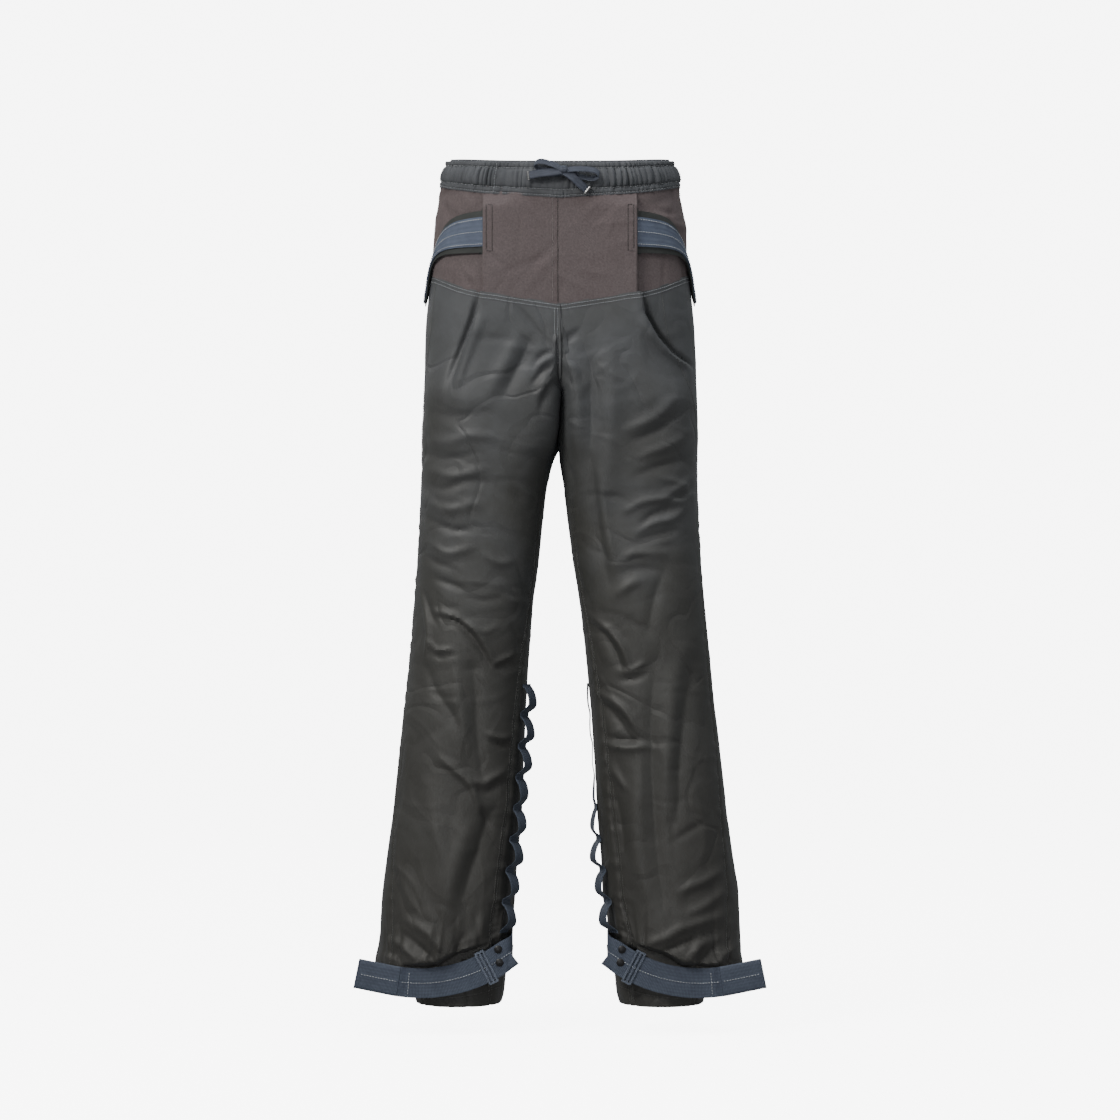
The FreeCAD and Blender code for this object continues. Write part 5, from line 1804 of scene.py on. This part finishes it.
# Where each tape lies on its leg, from its top to its bottom: y, then the way it faces, in
# degrees forward of straight inwards. The left one sits further back.
TAPE_COURSE = {
    "right": ([-28, -36, -45, -54.7], [31, 31, 31, 31]),
    "left": ([10, 4, -26, -54.7], [-4, 0, 22, 31]),
}


def inner_surface_x(z, y, side):
    """X of the smooth leg's inner side."""
    table = np.array(LEG_RINGS)
    column = 1 if side < 0 else 3
    columns = (column, column + 1, 5)
    outer, inner, front = (np.interp(-z, -table[:, 0], table[:, k]) for k in columns)
    half = (outer - inner) / 2
    reach = (1 - np.abs(y / front) ** LOW_ROUND) ** (1 / LOW_ROUND)
    return (outer + inner) / 2 - half * reach


TAPE_POINTS = 420
TAPE_STAND, FLAT_STAND = 3.4, 1.4        # how far off the leg it is tacked; less where it lies flat
FLAT_FULLNESS = 0.12
FLAT_UNTIL, FULL_FROM = 0.38, 0.75       # the shares of the left tape where that changes
TAPE_LEAN = 0.22


def make_loop_tape(name, side, looks):
    """The tape down one inner leg, standing off in open loops between its tacks."""
    rng = np.random.default_rng(90 + side)
    share = np.linspace(0, 1, TAPE_POINTS)
    course, facing = (np.interp(share, [0, 0.35, 0.7, 1], line) for line in TAPE_COURSE[name])
    turn = np.radians(facing)
    flat = np.zeros_like(turn)
    outward = np.stack([-np.cos(turn), -np.sin(turn), flat], axis=1)
    across = np.stack([-np.sin(turn), np.cos(turn), flat], axis=1)
    phase = (share * TAPE_LOOPS) % 1
    number = np.minimum((share * TAPE_LOOPS).astype(int), TAPE_LOOPS - 1)
    fullness = rng.uniform(0.75, 1.0, TAPE_LOOPS)[number]
    open_share = np.clip((phase - TAPE_TACK / 2) / (1 - TAPE_TACK), 0, 1)
    opening = fade(share, FLAT_UNTIL, FULL_FROM) if side > 0 else np.ones_like(share)
    fullness *= FLAT_FULLNESS + (1 - FLAT_FULLNESS) * opening
    rise = TAPE_BULGE * fullness * np.sin(math.pi * open_share) ** 0.75
    sag = (-3.0 - 2.0 * fullness) * np.sin(math.pi * open_share) ** 2
    z = TAPE_TOP_Z + (TAPE_BOTTOM_Z - TAPE_TOP_Z) * share
    line = np.stack([inner_surface_x(z, course, side), course, z], axis=1)
    off = FLAT_STAND + (TAPE_STAND - FLAT_STAND) * opening
    line += outward * (off + rise)[:, None]
    line[:, 2] += sag
    for _ in range(3):
        line[1:-1] = (line[:-2] + 2 * line[1:-1] + line[2:]) / 4
    lean = rng.uniform(-TAPE_LEAN, TAPE_LEAN, TAPE_LOOPS)[number] * np.sin(math.pi * open_share)
    ways = across + np.outer(lean, np.array([0, 0, 1.0]))
    node, shape = f"{name}_leg_loop_tape", ribbon(line, ways, TAPE_WIDTH, TAPE_THICK)
    soft_piece(
        f"{node}_cloth", shape, looks["tape"], (node,), f"{name}_leg", side
    )


# ---- small CAD parts -----------------------------------------------------------------------------
def dress(node, material, edge=0.0):
    """Give a CAD part its material, and soften its edges."""
    part = bpy.data.objects[node]
    part.data.materials.clear()
    part.data.materials.append(material)
    if edge:
        bevel = part.modifiers.new("soft edges", "BEVEL")
        bevel.width = edge * MM
        bevel.segments = 3
        bevel.limit_method = "ANGLE"
        bevel.angle_limit = math.radians(35)


def dress_small_parts(looks):
    for name, _ in SIDES:
        dress(f"{name}_eyelet", looks["silver"], 0.35)
        dress(f"drawstring_{name}_clamp", looks["silver"], 0.4)
        dress(f"{name}_hem_belt_slider", looks["gunmetal"], 0.5)
        dress(f"{name}_press_stud_caps", looks["stud"], 0.4)
        dress(f"{name}_press_stud_sockets", looks["stud"], 0.2)


def make_looks():
    return {
        "shell": shell_taffeta(),
        "canvas": yoke_canvas(),
        "band": band_cloth("band_cloth", (0.050, 0.053, 0.058), (0.088, 0.092, 0.099)),
        "backing": band_cloth("loop_backing", (0.034, 0.037, 0.035), (0.050, 0.054, 0.051)),
        "hip_webbing": webbing("hip_webbing", (0.070, 0.087, 0.128), (0.146, 0.175, 0.236)),
        "hem_webbing": webbing("hem_webbing", (0.048, 0.060, 0.086), (0.098, 0.118, 0.160)),
        "tape": webbing("loop_tape", (0.038, 0.048, 0.068), (0.078, 0.094, 0.126), 0.0014),
        "drawstring": webbing(
            "drawstring_tape", (0.036, 0.042, 0.060), (0.074, 0.084, 0.108), 0.0012
        ),
        "leg_thread": thread("leg_thread", (0.290, 0.305, 0.320), (0.400, 0.420, 0.440)),
        "seam_thread": thread("seam_thread", (0.070, 0.070, 0.064), (0.110, 0.110, 0.102)),
        "yoke_thread": thread("yoke_thread", (0.030, 0.024, 0.023), (0.052, 0.043, 0.040)),
        "centre_thread": thread("centre_thread", (0.170, 0.150, 0.145), (0.240, 0.215, 0.210)),
        "band_thread": thread("band_thread", (0.240, 0.250, 0.260), (0.340, 0.352, 0.365)),
        "webbing_thread": thread("webbing_thread", (0.420, 0.440, 0.460), (0.600, 0.620, 0.640)),
        "silver": metal("silver_metal", (0.30, 0.30, 0.30), (0.46, 0.46, 0.45), 0.24, 1.0),
        "gunmetal": metal("gunmetal", (0.080, 0.092, 0.118), (0.140, 0.156, 0.190), 0.24, 0.9),
        "stud": metal("black_stud", (0.012, 0.012, 0.013), (0.028, 0.028, 0.030), 0.30, 0.4),
        "liner": quilted_liner(),
        "elastic": ribbed_elastic(),
    }


def main():
    make_camera()
    make_floor()
    make_light()
    looks = make_looks()
    for name, side in SIDES:
        make_drawstring(name, side, looks)
    make_knot(looks)
    for name, side in SIDES:
        make_leg(name, side, looks)
        make_yoke(name, side, looks)
        make_hip_loop(name, side, looks)
        make_hem_belt(name, side, looks)
        make_loop_tape(name, side, looks)
    make_waistband(looks)
    dress_small_parts(looks)


main()
